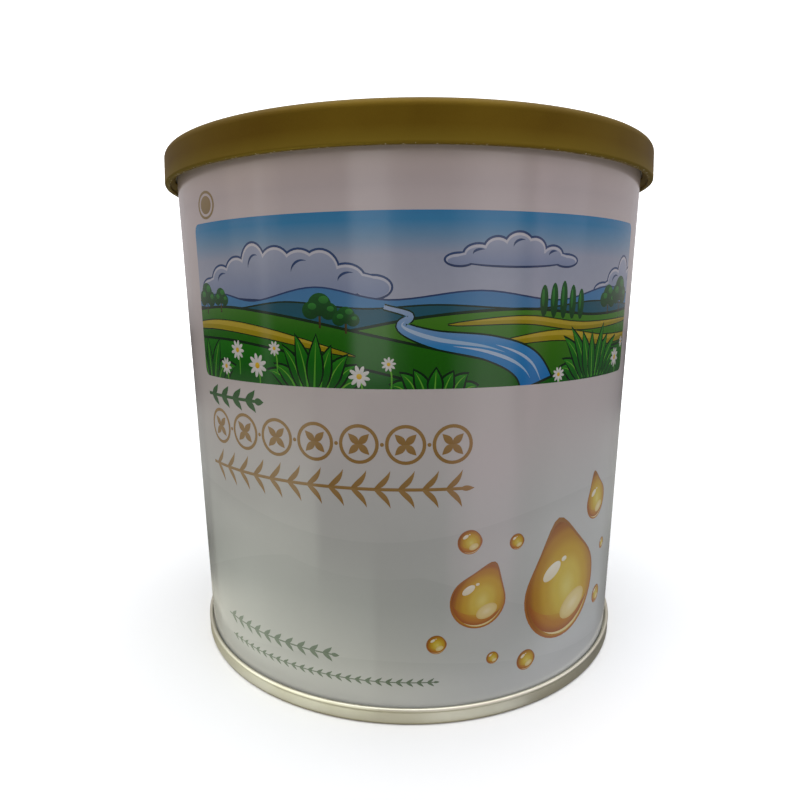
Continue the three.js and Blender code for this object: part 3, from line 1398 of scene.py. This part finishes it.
class MeshDraft:
    """A mesh being built: welded points, and each face's finish, true corner normals, fields and map."""

    def __init__(self, weld: float = 0.0001) -> None:
        """Starts an empty mesh.

        Args:
            weld: the size in millimetres below which corners become one point.
        """
        self.weld = weld
        self.found: dict[tuple[int, int, int], int] = {}
        self.points: list[Vec3] = []
        self.faces: list[list[int]] = []
        self.finishes: list[int] = []
        self.normals: list[Vec3] = []
        self.fields: list[Vec3] = []
        self.map: list[Point] = []

    def point_number(self, corner: Vec3) -> int:
        """Finds the point at a corner, or adds it if none is there yet.

        Args:
            corner: the corner in millimetres.

        Returns:
            The point's number.
        """
        scaled = [c / self.weld for c in corner]
        own = tuple(round(s) for s in scaled)
        if own not in self.found:
            ways = [(round(s - 0.3), round(s + 0.3)) for s in scaled]
            near = [self.found[key] for key in product(*ways) if key in self.found]
            if not near:
                near = [len(self.points)]
                self.points.append(corner)
            self.found[own] = near[0]
        return self.found[own]

    def add_face(
        self,
        corners: Sequence[Vec3],
        normals: Sequence[Vec3],
        finish: int = 0,
        fields: Sequence[Vec3] | None = None,
        places: Sequence[Point] | None = None,
    ) -> None:
        """Adds a face, welding its corners to those that are there.

        Args:
            corners: its corners in millimetres, anticlockwise from outside.
            normals: the surface's true normal at each corner.
            finish: the number of its material.
            fields: the ink field at each corner.
            places: each corner's place on the bake map.
        """
        numbers: list[int] = []
        kept: list[int] = []
        for i, corner in enumerate(corners):
            number = self.point_number(corner)
            if number not in numbers:
                numbers.append(number)
                kept.append(i)
        if len(numbers) < 3:
            return
        self.faces.append(numbers)
        self.finishes.append(finish)
        for i in kept:
            self.normals.append(normals[i])
            self.fields.append(fields[i] if fields else (0.0, 0.0, 0.0))
            self.map.append(places[i] if places else (0.0, 0.0))

    def add_turned(
        self, profile: Profile, columns: int, finish: int = 0, strip: tuple[Point, Point] | None = None
    ) -> None:
        """Turns a profile about the axis, from the -X side round through the front.

        Args:
            profile: the section.
            columns: how many faces go round.
            finish: the number of its material.
            strip: the low and high corners of its place on the bake map, if it has one.
        """
        angles = [-math.pi + 2 * math.pi * i / columns for i in range(columns + 1)]
        turns = [(math.cos(a), math.sin(a)) for a in angles]
        turns[-1] = turns[0]
        count = len(profile.normals)
        for j, (low, high) in enumerate(zip(profile.points, profile.points[1:])):
            low_normal, high_normal = profile.normals[j]
            ends = ((low, low_normal), (low, low_normal), (high, high_normal), (high, high_normal))
            for i in range(columns):
                sides = (turns[i], turns[i + 1], turns[i + 1], turns[i])
                corners = [(p[0] * t[0], p[0] * t[1], p[1]) for t, (p, _) in zip(sides, ends)]
                normals = [(n[0] * t[0], n[0] * t[1], n[1]) for t, (_, n) in zip(sides, ends)]
                places = None
                if strip:
                    (u0, v0), (u1, v1) = strip
                    us = [u0 + (u1 - u0) * (i + k) / columns for k in (0, 1, 1, 0)]
                    vs = [v0 + (v1 - v0) * (j + k) / count for k in (0, 0, 1, 1)]
                    places = list(zip(us, vs))
                self.add_face(corners, normals, finish, None, places)

    def make_object(
        self, name: str, finishes: Sequence[bpy.types.Material], mapped: bool = False
    ) -> bpy.types.Object:
        """Makes the mesh's object and links it to the scene.

        Args:
            name: the piece's name.
            finishes: its materials, in the order of the faces' numbers.
            mapped: whether the mesh carries ink fields and its own bake map.

        Returns:
            The object, at the frame's origin.
        """
        mesh = bpy.data.meshes.new(name)
        mesh.from_pydata([[c * MM for c in point] for point in self.points], [], self.faces)
        for material in finishes:
            mesh.materials.append(material)
        mesh.polygons.foreach_set("material_index", self.finishes)
        mesh.shade_smooth()
        if mapped:
            flat = [c for field in self.fields for c in field]
            mesh.attributes.new(INK_FIELD, "FLOAT_VECTOR", "CORNER").data.foreach_set("vector", flat)
            places = mesh.uv_layers.new(name=BAKE_MAP)
            places.data.foreach_set("uv", [c for place in self.map for c in place])
        mesh.normals_split_custom_set(self.normals)
        made = bpy.data.objects.new(name, mesh)
        bpy.context.scene.collection.objects.link(made)
        return made


def place(piece: bpy.types.Object, node_name: str, slot: str) -> bpy.types.Object:
    """Fixes a piece to the body, in the place of its CAD solid, and reports it.

    Args:
        piece: the finished object.
        node_name: the CAD node that it stands for.
        slot: the record's material slot; not used.

    Returns:
        The piece.
    """
    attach(piece, BODY)
    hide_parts(node_name)
    size = " x ".join(f"{side / MM:.2f}" for side in piece.dimensions)
    log.info("%s: %s mm, %d faces, for %s", piece.name, size, len(piece.data.polygons), node_name)
    return piece


@dataclass
class CanWall:
    """The can's printed wall, rolled up from the flat sheet, with the hidden top seam and closed ends."""

    radius: float = 36.5
    seam_radius: float = 37.25
    chuck_radius: float = 35.95
    sheet_foot: float = 1.75
    seam_foot: float = 74.7
    top: float = 77.2
    recess: float = 75.7
    inner_radius: float = 36.38
    floor: float = 4.15
    seam_bend: float = 0.45
    columns: int = 240
    rows: int = 30
    weld_columns: int = 2
    weld_rise: float = 0.09
    weld_fade: float = 1.5
    map_low: Point = (0.002, 0.004)
    map_size: Point = (0.996, 0.48)
    map_row: float = 0.49
    foot_strip: tuple[Point, Point] = ((0.0, 0.975), (1.0, 0.985))
    seam_strip: tuple[Point, Point] = ((0.0, 0.986), (1.0, 1.0))
    finishes: tuple[Ink, ...] = tuple(Ink)

    @property
    def length(self) -> float:
        """The sheet's length round the can."""
        return 2 * math.pi * self.radius

    def artwork(self) -> PrintSheet:
        """Lays out the print: the same front panel on two sides, and a table on the side between them.

        Returns:
            The sheet, with every shape laid.
        """
        left = -self.length / 4
        right = left + self.length
        sheet = PrintSheet((left, self.sheet_foot), (right, self.seam_foot), self.columns, self.rows)
        for middle in (0.0, self.length / 2):
            Waves(sheet, (middle, 0.0)).draw()
            MeadowPicture(sheet, (middle - 33.2, 46.5)).draw()
            Garlands(sheet, (middle, 0.0)).draw()
            GoldDrops(sheet, (middle, 0.0)).draw()
        FactsTable(sheet, (self.length / 4 - 15.0, 14.0)).draw()
        strip = self.length / self.columns * self.weld_columns
        for low, high in ((left, left + strip), (right - strip, right)):
            sheet.lay(rectangle((low, self.sheet_foot), (high, self.seam_foot)), Ink.WELD)
        return sheet

    def rolled(self, point: Point) -> Vec3:
        """Rolls a point of the sheet round the can, over the weld's low bead.

        Args:
            point: the point on the sheet.

        Returns:
            Its place on the can.
        """
        u, v = point
        angle = u / self.radius
        from_weld = abs((u + self.length / 4 + self.length / 2) % self.length - self.length / 2)
        strip = self.length / self.columns * self.weld_columns
        bead = max(0.0, 1 - from_weld / strip) * self.weld_rise
        ends = min(1.0, (v - self.sheet_foot) / self.weld_fade, (self.seam_foot - v) / self.weld_fade)
        radius = self.radius + bead * max(0.0, ends)
        return radius * math.sin(angle), -radius * math.cos(angle), v

    def map_place(self, point: Point) -> Point:
        """Places a point of the sheet on the bake map: the front half in one row, the back in another.

        Args:
            point: the point on the sheet.

        Returns:
            Its place on the map.
        """
        u, v = point
        half = self.length / 2
        along = (u + self.length / 4) / half
        row = 0.0
        if along > 1.0:
            along -= 1.0
            row = self.map_row
        rise = (v - self.sheet_foot) / (self.seam_foot - self.sheet_foot)
        (low, foot), (wide, tall) = self.map_low, self.map_size
        return low + wide * along, row + foot + tall * rise

    def build(self) -> bpy.types.Object:
        """Makes the wall's mesh and dresses it.

        Returns:
            The finished piece.
        """
        draft = MeshDraft()
        number = {ink: i for i, ink in enumerate(self.finishes)}
        edge = self.length / 4
        for corners, patch in self.artwork().cut():
            normals = []
            for u, _ in corners:
                angle = u / self.radius
                normals.append((math.sin(angle), -math.cos(angle), 0.0))
            middle = sum(u for u, _ in corners) / 3
            places = []
            for u, v in corners:
                pulled = max(u, edge + 1e-6) if middle > edge else min(u, edge)
                places.append(self.map_place((pulled, v)))
            draft.add_face(
                [self.rolled(corner) for corner in corners],
                normals,
                number[patch.ink],
                [patch.field.at(corner) for corner in corners],
                places,
            )
        tinplate = len(self.finishes)
        foot = Profile(0.0, self.floor).line(self.inner_radius, self.floor)
        foot.line(self.inner_radius, self.sheet_foot).line(self.radius, self.sheet_foot)
        draft.add_turned(foot, self.columns, tinplate, self.foot_strip)
        bend = self.seam_bend
        seam = Profile(self.radius, self.seam_foot)
        seam.arc((self.seam_radius - bend, self.seam_foot + bend), bend, -60, 0, 4)
        seam.arc((self.seam_radius - bend, self.top - bend), bend, 0, 90, 6)
        seam.arc((self.chuck_radius + bend, self.top - bend), bend, 90, 180, 6)
        seam.line(self.chuck_radius, self.recess).line(0.0, self.recess)
        draft.add_turned(seam, self.columns, tinplate, self.seam_strip)
        materials = [ink.value.make(f"litho_{ink.name.lower()}") for ink in self.finishes]
        materials.append(Tinplate().make("tinplate_hidden_seam"))
        piece = draft.make_object("tin_wall", materials, mapped=True)
        return place(piece, "tin_body", "printed_wall")


@dataclass
class BottomEnd:
    """The bare tinplate bottom end: double seam, countersink groove and stepped panel."""

    wall_radius: float = 36.5
    seam_radius: float = 37.25
    chuck_radius: float = 35.95
    height: float = 2.5
    shoulder: float = 0.3
    foot_bend: float = 0.45
    hook_angle: float = 30.0
    hollow: float = 0.5
    lean: float = 4.2
    crevice: float = 0.08
    slot_foot: float = 1.65
    slot_inner: float = 36.32
    groove: float = 3.2
    groove_width: float = 1.5
    groove_bend: float = 0.35
    groove_lead: float = 0.3
    panel: float = 2.2
    steps: tuple[float, ...] = (21.0, 29.0)
    step_rise: float = 0.4
    step_slope: float = 0.7
    step_bend: float = 0.25
    top: float = 4.1
    columns: int = 288

    def build(self) -> bpy.types.Object:
        """Makes the end's mesh and dresses it.

        Returns:
            The finished piece.
        """
        level = self.panel + self.step_rise * len(self.steps)
        section = Profile(0.0, level)
        soft = self.step_bend
        for edge in self.steps:
            section.line(edge - self.step_slope - soft, level)
            section.arc((edge - self.step_slope - soft, level - soft), soft, 90, 30, 4)
            level -= self.step_rise
            section.arc((edge + soft * 0.5, level + soft), soft, 210, 270, 4)
        inner = self.chuck_radius - self.groove_width
        section.line(inner - self.step_slope, self.panel)
        section.line(inner, self.groove - self.groove_lead)
        bend = self.groove_bend
        section.arc((inner + bend, self.groove - bend), bend, 180, 90, 5)
        section.arc((self.chuck_radius - bend, self.groove - bend), bend, 90, 0, 5)
        bend = self.foot_bend
        section.arc((self.chuck_radius + bend, bend), bend, 180, 270, 8)
        section.arc((self.seam_radius - bend, bend), bend, 270, 360 + self.lean, 8)
        bead = (self.seam_radius - self.shoulder, self.height - self.shoulder)
        apart = self.shoulder + self.hollow
        under = math.radians(self.hook_angle)
        hollow_centre = (bead[0] + apart * math.cos(under), bead[1] - apart * math.sin(under))
        section.arc(hollow_centre, self.hollow, 180 + self.lean, 180 - self.hook_angle, 8)
        section.arc(bead, self.shoulder, -self.hook_angle, 180, 14)
        section.line(self.wall_radius + self.crevice, self.slot_foot)
        section.line(self.slot_inner, self.slot_foot)
        section.line(self.slot_inner, self.top)
        section.line(0.0, self.top)
        draft = MeshDraft()
        draft.add_turned(section, self.columns)
        piece = draft.make_object("tin_bottom_end", [Tinplate().make("tinplate_bottom_end")])
        return place(piece, "bottom_end", "tinplate")


@dataclass
class Overcap:
    """The gold plastic overcap: skirt, snap bead, rounded edge, rim, recessed panel, ring and gate."""

    top: float = 78.1
    skirt_foot: float = 73.3
    foot_radius: float = 38.25
    draft: float = 0.2
    wall: float = 0.75
    edge_bend: float = 1.2
    foot_bend: float = 0.3
    inner_foot_bend: float = 0.15
    rim_width: float = 2.9
    rim_bend: float = 0.3
    recess: float = 1.2
    slope: float = 0.6
    bead_centre: float = 74.15
    bead_height: float = 0.8
    bead_half: float = 0.45
    bead_tip: float = 0.1
    bead_tip_share: float = 0.9
    rim_under: float = 77.3
    plug_radius: float = 35.65
    ring_radius: float = 25.0
    ring_width: float = 1.6
    ring_rise: float = 0.3
    gate_radius: float = 3.5
    gate_depth: float = 0.25
    gate_nub: tuple[Point, ...] = ((0.6, 0.0), (0.5, 0.12), (0.0, 0.15))
    columns: int = 320

    def build(self) -> bpy.types.Object:
        """Makes the overcap's mesh and dresses it.

        Returns:
            The finished piece.
        """
        panel = self.top - self.recess
        under = panel - self.wall
        inside = self.foot_radius - self.wall
        edge = self.foot_radius - self.draft
        section = Profile(0.0, under).line(self.plug_radius - self.slope, under)
        section.line(self.plug_radius, under + self.slope).line(self.plug_radius, self.rim_under)
        section.line(inside, self.rim_under).line(inside, self.bead_centre + self.bead_half)
        near_tip = inside - self.bead_height * self.bead_tip_share
        section.line(near_tip, self.bead_centre + self.bead_tip)
        section.line(inside - self.bead_height, self.bead_centre)
        section.line(near_tip, self.bead_centre - self.bead_tip)
        section.line(inside, self.bead_centre - self.bead_half)
        bend = self.inner_foot_bend
        section.arc((inside + bend, self.skirt_foot + bend), bend, 180, 270, 4)
        bend = self.foot_bend
        section.arc((self.foot_radius - bend, self.skirt_foot + bend), bend, 270, 360, 6)
        section.arc((edge - self.edge_bend, self.top - self.edge_bend), self.edge_bend, 0, 90, 14)
        rim_inner = edge - self.rim_width
        soft = self.rim_bend
        section.arc((rim_inner + soft, self.top - soft), soft, 90, 160, 5)
        section.arc((rim_inner - self.slope - soft * 0.6, panel + soft), soft, 330, 270, 5)
        outer = self.ring_radius + self.ring_width / 2
        inner = self.ring_radius - self.ring_width / 2
        section.line(outer, panel)
        section.line(outer - self.ring_width / 4, panel + self.ring_rise)
        section.line(inner + self.ring_width / 4, panel + self.ring_rise)
        section.line(inner, panel)
        section.line(self.gate_radius, panel)
        section.line(self.gate_radius - self.gate_depth, panel - self.gate_depth)
        for radius, rise in self.gate_nub:
            section.line(radius, panel - self.gate_depth + rise)
        draft = MeshDraft()
        draft.add_turned(section, self.columns)
        piece = draft.make_object("tin_overcap", [GoldPolyethylene().make("gold_polyethylene")])
        return place(piece, "overcap", "gold_plastic")


@dataclass(frozen=True)
class SoftLight:
    """One rectangular softbox: its place, aim, size, power and tint, and whether gloss mirrors it."""

    name: str
    place: Vec3
    faces: Vec3
    size: Point
    power: float
    tint: str = "#ffffff"
    mirrored: bool = True

    def add(self) -> None:
        """Adds the light to the scene, out of the camera's sight."""
        lamp = bpy.data.lights.new(self.name, "AREA")
        lamp.shape = "RECTANGLE"
        lamp.size, lamp.size_y = self.size[0] * MM, self.size[1] * MM
        lamp.energy = self.power
        lamp.color = linear(self.tint)[:3]
        holder = bpy.data.objects.new(self.name, lamp)
        holder.location = Vector(self.place) * MM
        holder.rotation_euler = (Vector(self.faces) - Vector(self.place)).to_track_quat("-Z", "Y").to_euler()
        holder.visible_camera = False
        holder.visible_glossy = self.mirrored
        bpy.context.scene.collection.objects.link(holder)


def share_at(stops: Sequence[Point], place: float) -> float:
    """Reads a share between its stops, with an eased run from each to the next.

    Args:
        stops: pairs of place and share.
        place: the place to read.

    Returns:
        The share there, or 0 outside the stops.
    """
    for (start, low), (end, high) in zip(stops, stops[1:]):
        if start <= place <= end:
            t = (place - start) / (end - start)
            return low + (high - low) * t * t * (3 - 2 * t)
    return 0.0


@dataclass(frozen=True)
class Streak:
    """A soft streak in the varnish: its tint, and its share of glow across and up the wall."""

    glow: float
    tint: str
    across: tuple[Point, ...]
    up: tuple[Point, ...]

    def light(self, u: float, v: float) -> Vector:
        """The streak's red, green and blue light at a point of the wall."""
        return Vector(linear(self.tint)[:3]) * (self.glow * share_at(self.across, u) * share_at(self.up, v))


@dataclass(frozen=True)
class GlowGauze:
    """Lit gauze, each point with its own glow, that lets all other light through."""

    glow_field: str = "glow"

    def make(self, name: str) -> bpy.types.Material:
        """Builds the glowing gauze.

        Args:
            name: the material's name.

        Returns:
            The material, whose glow is the mesh's own field.
        """
        material = blank_material(name)
        tree = material.node_tree
        glow = node(tree, "Attribute", attribute_name=self.glow_field).outputs["Color"]
        shine = node(tree, "Emission", {"Color": glow}).outputs["Emission"]
        clear = node(tree, "BsdfTransparent").outputs["BSDF"]
        shader = node(tree, "AddShader", {0: shine, 1: clear})
        node(tree, "OutputMaterial", {"Surface": shader.outputs["Shader"]})
        return material


@dataclass(frozen=True)
class MirrorScreen:
    """A slanted glowing screen round the front, where the wall mirrors it into the camera as soft streaks."""

    eye: Vec3
    wall_radius: float = 36.5
    gap: float = 2.0
    slope: float = 0.96
    varnish_index: float = LithoInk.varnish_ior
    half_width: float = 36.0
    height: float = 75.0
    columns: int = 120
    rows: int = 40
    streaks: tuple[Streak, ...] = (
        Streak(
            0.074,
            "#f4fff4",
            ((-36, 1), (-25, 1), (-18.8, 0.72), (-13.6, 0.58), (-10.6, 0.44), (-5, 0.34), (-3.8, 0)),
            ((3, 0), (5, 0.9), (8, 1), (18, 0.9), (27, 0.35), (30, 0)),
        ),
        Streak(
            0.056,
            "#faffee",
            ((-36, 0.7), (-24, 0.75), (-18, 1), (-12.6, 0.95), (-11.4, 0)),
            ((17, 0), (27, 1), (40, 0.75), (45, 0.4), (49, 0)),
        ),
        Streak(0.02, "#ffffff", ((-19.8, 0), (-18.5, 1), (-17.0, 0)), ((42, 0), (50, 1), (75, 1))),
        Streak(
            0.014,
            "#fffaf0",
            ((-12, 0), (-11, 1), (-6.6, 1), (-5.8, 0)),
            ((37, 0), (41, 1), (45, 1), (48, 0)),
        ),
        Streak(
            0.045,
            "#ffffff",
            ((-7.2, 0), (-5.8, 1), (-2.6, 0.9), (-1.4, 0.2), (1, 0)),
            ((45, 0), (50, 1), (75, 1)),
        ),
        Streak(
            0.042,
            "#fffafc",
            ((4.8, 0), (6.4, 0.4), (9.5, 1), (12.4, 0.9), (14.6, 0)),
            ((36, 0), (44, 0.8), (75, 0.95)),
        ),
        Streak(
            0.062,
            "#ffd2e6",
            ((4.6, 0), (6, 0.45), (9.5, 0.9), (13, 0.8), (16, 0.15), (18, 0)),
            ((9, 0), (19, 0.7), (24, 0.85), (36, 0.85), (44, 0)),
        ),
        Streak(0.02, "#ffd8e0", ((14.8, 0), (16.2, 1), (17.8, 0.3), (19, 0)), ((36, 0), (46, 1), (75, 0.8))),
        Streak(
            0.018,
            "#fafcfa",
            ((15, 0), (18.5, 0.8), (20.5, 1), (23, 0.6), (26, 0)),
            ((3.2, 0), (5, 0.6), (14, 0.4), (25, 0.9), (34, 0.5), (44, 0)),
        ),
        Streak(
            0.065,
            "#ecf2ff",
            ((18, 0), (22, 0.4), (27, 0.75), (36, 1)),
            ((4.4, 0), (8, 0.8), (14, 0.65), (30, 0.3), (45, 0.15), (60, 0.06), (75, 0.06)),
        ),
        Streak(
            0.02,
            "#f4f2ff",
            ((-4, 0), (8, 1), (18, 1), (28, 0.5), (34, 0)),
            ((3.1, 0), (4.6, 1), (7, 0.9), (12, 0.3), (16, 0)),
        ),
        Streak(
            0.035,
            "#e6f0ff",
            ((-36, 1), (-14, 0.6), (-4, 0.3), (0, 0.3), (6, 0.6), (13, 0.65), (19, 0)),
            ((0, 1), (2.4, 1), (3.2, 0)),
        ),
    )

    def mirrored(self, u: float, v: float) -> tuple[Vector, float]:
        """Follows the camera's sight of a point of the wall off the varnish to the screen.

        Args:
            u: the point's place along the print.
            v: its height.

        Returns:
            The place on the screen, and the share of light that the varnish mirrors there.
        """
        angle = u / self.wall_radius
        normal = Vector((math.sin(angle), -math.cos(angle), 0.0))
        spot = normal * self.wall_radius + Vector((0.0, 0.0, v))
        sight = (spot - Vector(self.eye)).normalized()
        facing = -sight.dot(normal)
        away = sight + normal * (2 * facing)
        run = math.hypot(away.x, away.y)
        reach = (v + self.slope * self.gap) / (self.slope - away.z / run)
        head_on = ((self.varnish_index - 1) / (self.varnish_index + 1)) ** 2
        return spot + away / run * reach, head_on + (1 - head_on) * (1 - facing) ** 5

    def build(self) -> bpy.types.Object:
        """Makes the screen, which only mirrors show.

        Returns:
            The screen.
        """
        points: list[Vector] = []
        glows: list[float] = []
        faces: list[list[int]] = []
        for j in range(self.rows + 1):
            v = self.height * j / self.rows
            for i in range(self.columns + 1):
                u = self.half_width * (2 * i / self.columns - 1)
                if i and j:
                    n = len(points)
                    faces.append([n, n - 1, n - 2 - self.columns, n - 1 - self.columns])
                place, mirror = self.mirrored(u, v)
                points.append(place * MM)
                light = sum((streak.light(u, v) for streak in self.streaks), Vector((0.0, 0.0, 0.0)))
                glows += [*(light / mirror), 1.0]
        mesh = bpy.data.meshes.new("studio_screen")
        mesh.from_pydata(points, [], faces)
        finish = GlowGauze()
        mesh.attributes.new(finish.glow_field, "FLOAT_COLOR", "POINT").data.foreach_set("color", glows)
        mesh.materials.append(finish.make("studio_gauze"))
        screen = bpy.data.objects.new("studio_screen", mesh)
        screen.visible_camera = False
        screen.visible_diffuse = False
        screen.visible_shadow = False
        bpy.context.scene.collection.objects.link(screen)
        return screen


@dataclass
class Studio:
    """The papers, the lights and the camera at the photograph's viewing angle."""

    table_radius: float = 900.0
    table_drop: float = 0.05
    # Painted light and shade on the table: a pale pool round the tin's front left, a painted shadow band
    # beyond it, then grey paper, darker far out.
    table_light_and_shade_stops: tuple[tuple[float, str], ...] = (
        (0.0, "#f4f0de"),
        (24.0, "#f0ecda"),
        (42.0, "#7b7b75"),
        (56.0, "#545450"),
        (74.0, "#7a7a75"),
        (120.0, "#94948e"),
        (200.0, "#8f8f8a"),
        (300.0, "#4a4a4a"),
        (500.0, "#3a3a3a"),
    )
    table_centre: Vec3 = (-22.0, -24.0, 0.0)
    ring_radii: Point = (33.0, 41.5)
    ring_drop: float = 0.03
    # Painted light and shade for the seam to mirror: paler towards the tin's front left, darker beyond.
    ring_light_and_shade_stops: tuple[tuple[float, str], ...] = (
        (0.0, "#a9a696"),
        (30.0, "#a9a696"),
        (42.0, "#8f8e86"),
        (60.0, "#777671"),
    )
    sweep_radius: float = 1100.0
    sweep_bend: float = 500.0
    sweep_top: float = 1500.0
    room_stops: tuple[tuple[float, str], ...] = (
        (0.0, "#2a2a2b"),
        (0.46, "#3a393a"),
        (0.5, "#b2aeb0"),
        (0.6, "#c0bbbe"),
        (1.0, "#c8c4c8"),
    )
    camera_distance: float = 107.848
    camera_height: float = 58.06
    yaw: float = -1.384
    pitch: float = 13.758
    roll: float = 0.40
    focal_pixels: float = 600.0
    centre_pixels: Point = (393.07, 437.36)
    frame_pixels: float = 800.0
    sensor: float = 36.0
    near_clip: float = 1.0
    columns: int = 128

    def build(self) -> None:
        """Adds the papers, the lights and the camera."""
        self.papers()
        self.lights()
        self.camera()

    def papers(self) -> None:
        """Adds the sweep that the camera sees, the grey table whose light reaches the tin, and its ring.

        The ring sets the tone that the bottom seam mirrors, and only mirrors see it. The stops of the table
        and the ring paint light and shade on them.
        """
        bowl = Profile(self.sweep_radius, self.sweep_top)
        bowl.arc((self.sweep_radius - self.sweep_bend, self.sweep_bend), self.sweep_bend, 360, 270, 24)
        floor = self.lay("studio_floor", bowl.line(0.0, 0.0), StudioPaper(backlight=0.9), "studio_paper")
        floor.visible_diffuse = floor.visible_glossy = floor.visible_shadow = False
        disc = Profile(self.table_radius, -self.table_drop).line(0.0, -self.table_drop)
        graded = StudioPaper(self.table_light_and_shade_stops, self.table_centre)
        table = self.lay("studio_table", disc, graded, "studio_graded_paper")
        table.visible_camera = False
        inner, outer = self.ring_radii
        band = Profile(outer, -self.ring_drop).line(inner, -self.ring_drop)
        matt = StudioPaper(self.ring_light_and_shade_stops, self.table_centre)
        ring = self.lay("studio_ring", band, matt, "studio_ring_paper")
        ring.visible_camera = ring.visible_diffuse = ring.visible_shadow = False

    def lay(self, name: str, section: Profile, paper: StudioPaper, paper_name: str) -> bpy.types.Object:
        """Lays one paper, turned about the tin's axis.

        Args:
            name: the object's name.
            section: its section.
            paper: its finish.
            paper_name: the finish's name.

        Returns:
            The laid paper.
        """
        draft = MeshDraft()
        draft.add_turned(section, self.columns)
        return draft.make_object(name, [paper.make(paper_name)])

    def lights(self) -> None:
        """Adds the softboxes, the screen that the varnish mirrors as streaks, and the dim room light."""
        lights = (
            SoftLight("overhead", (0, 0, 1000), (0, 0, 0), (1300, 1100), 10.9, "#f6fdff"),
            SoftLight("left_fill", (-500, -150, 260), (0, 0, 40), (300, 400), 0.16, "#ffeed8"),
            SoftLight("right_fill", (500, -150, 260), (0, 0, 40), (300, 400), 0.15, "#eceaff"),
            SoftLight("right_low", (60, -46, 4), (24, -28, 6), (54, 8), 0.0045, "#eeecff", False),
        )
        for light in lights:
            light.add()
        MirrorScreen((0.0, -self.camera_distance, self.camera_height)).build()
        world = bpy.data.worlds.new("studio_room")
        world.use_nodes = True
        tree = world.node_tree
        tree.nodes.clear()
        towards = node(tree, "TexCoord").outputs["Generated"]
        rise = node(tree, "SeparateXYZ", {"Vector": towards}).outputs["Z"]
        share = node(tree, "MapRange", {"Value": rise, "From Min": -1.0})
        room = node(tree, "ValToRGB", {"Fac": share.outputs["Result"]})
        set_stops(room, self.room_stops)
        glow = node(tree, "Background", {"Color": room.outputs["Color"]})
        node(tree, "OutputWorld", {"Surface": glow.outputs["Background"]})
        bpy.context.scene.world = world
        bpy.context.scene.view_settings.view_transform = "Standard"

    def camera(self) -> None:
        """Adds the camera, turned by its yaw, pitch and roll, and shifted to the photograph's centre."""
        yaw, pitch, roll = (math.radians(a) for a in (self.yaw, self.pitch, self.roll))
        ahead = Vector((math.sin(yaw) * math.cos(pitch), math.cos(yaw) * math.cos(pitch), -math.sin(pitch)))
        level = Vector((math.cos(yaw), -math.sin(yaw), 0.0))
        down = ahead.cross(level)
        right = level * math.cos(roll) + down * math.sin(roll)
        up = level * math.sin(roll) - down * math.cos(roll)
        lens = bpy.data.cameras.new("photo_view")
        lens.sensor_width = self.sensor
        lens.lens = self.sensor * self.focal_pixels / self.frame_pixels
        lens.shift_x = (self.frame_pixels / 2 - self.centre_pixels[0]) / self.frame_pixels
        lens.shift_y = (self.centre_pixels[1] - self.frame_pixels / 2) / self.frame_pixels
        lens.clip_start = self.near_clip * MM
        camera = bpy.data.objects.new("photo_view", lens)
        turn = Matrix((right, up, -ahead)).transposed().to_4x4()
        stand = Vector((0.0, -self.camera_distance, self.camera_height)) * MM
        camera.matrix_world = Matrix.Translation(stand) @ turn
        bpy.context.scene.collection.objects.link(camera)
        bpy.context.scene.camera = camera


def main() -> None:
    """Loads the frame, builds every sub-assembly round it and sets up the studio."""
    logging.basicConfig(level=logging.INFO, format="%(name)s: %(message)s")
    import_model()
    pieces = [CanWall().build(), BottomEnd().build(), Overcap().build()]
    Studio().build()
    log.info("%d pieces in place", len(pieces))


if __name__ == "__main__":
    main()
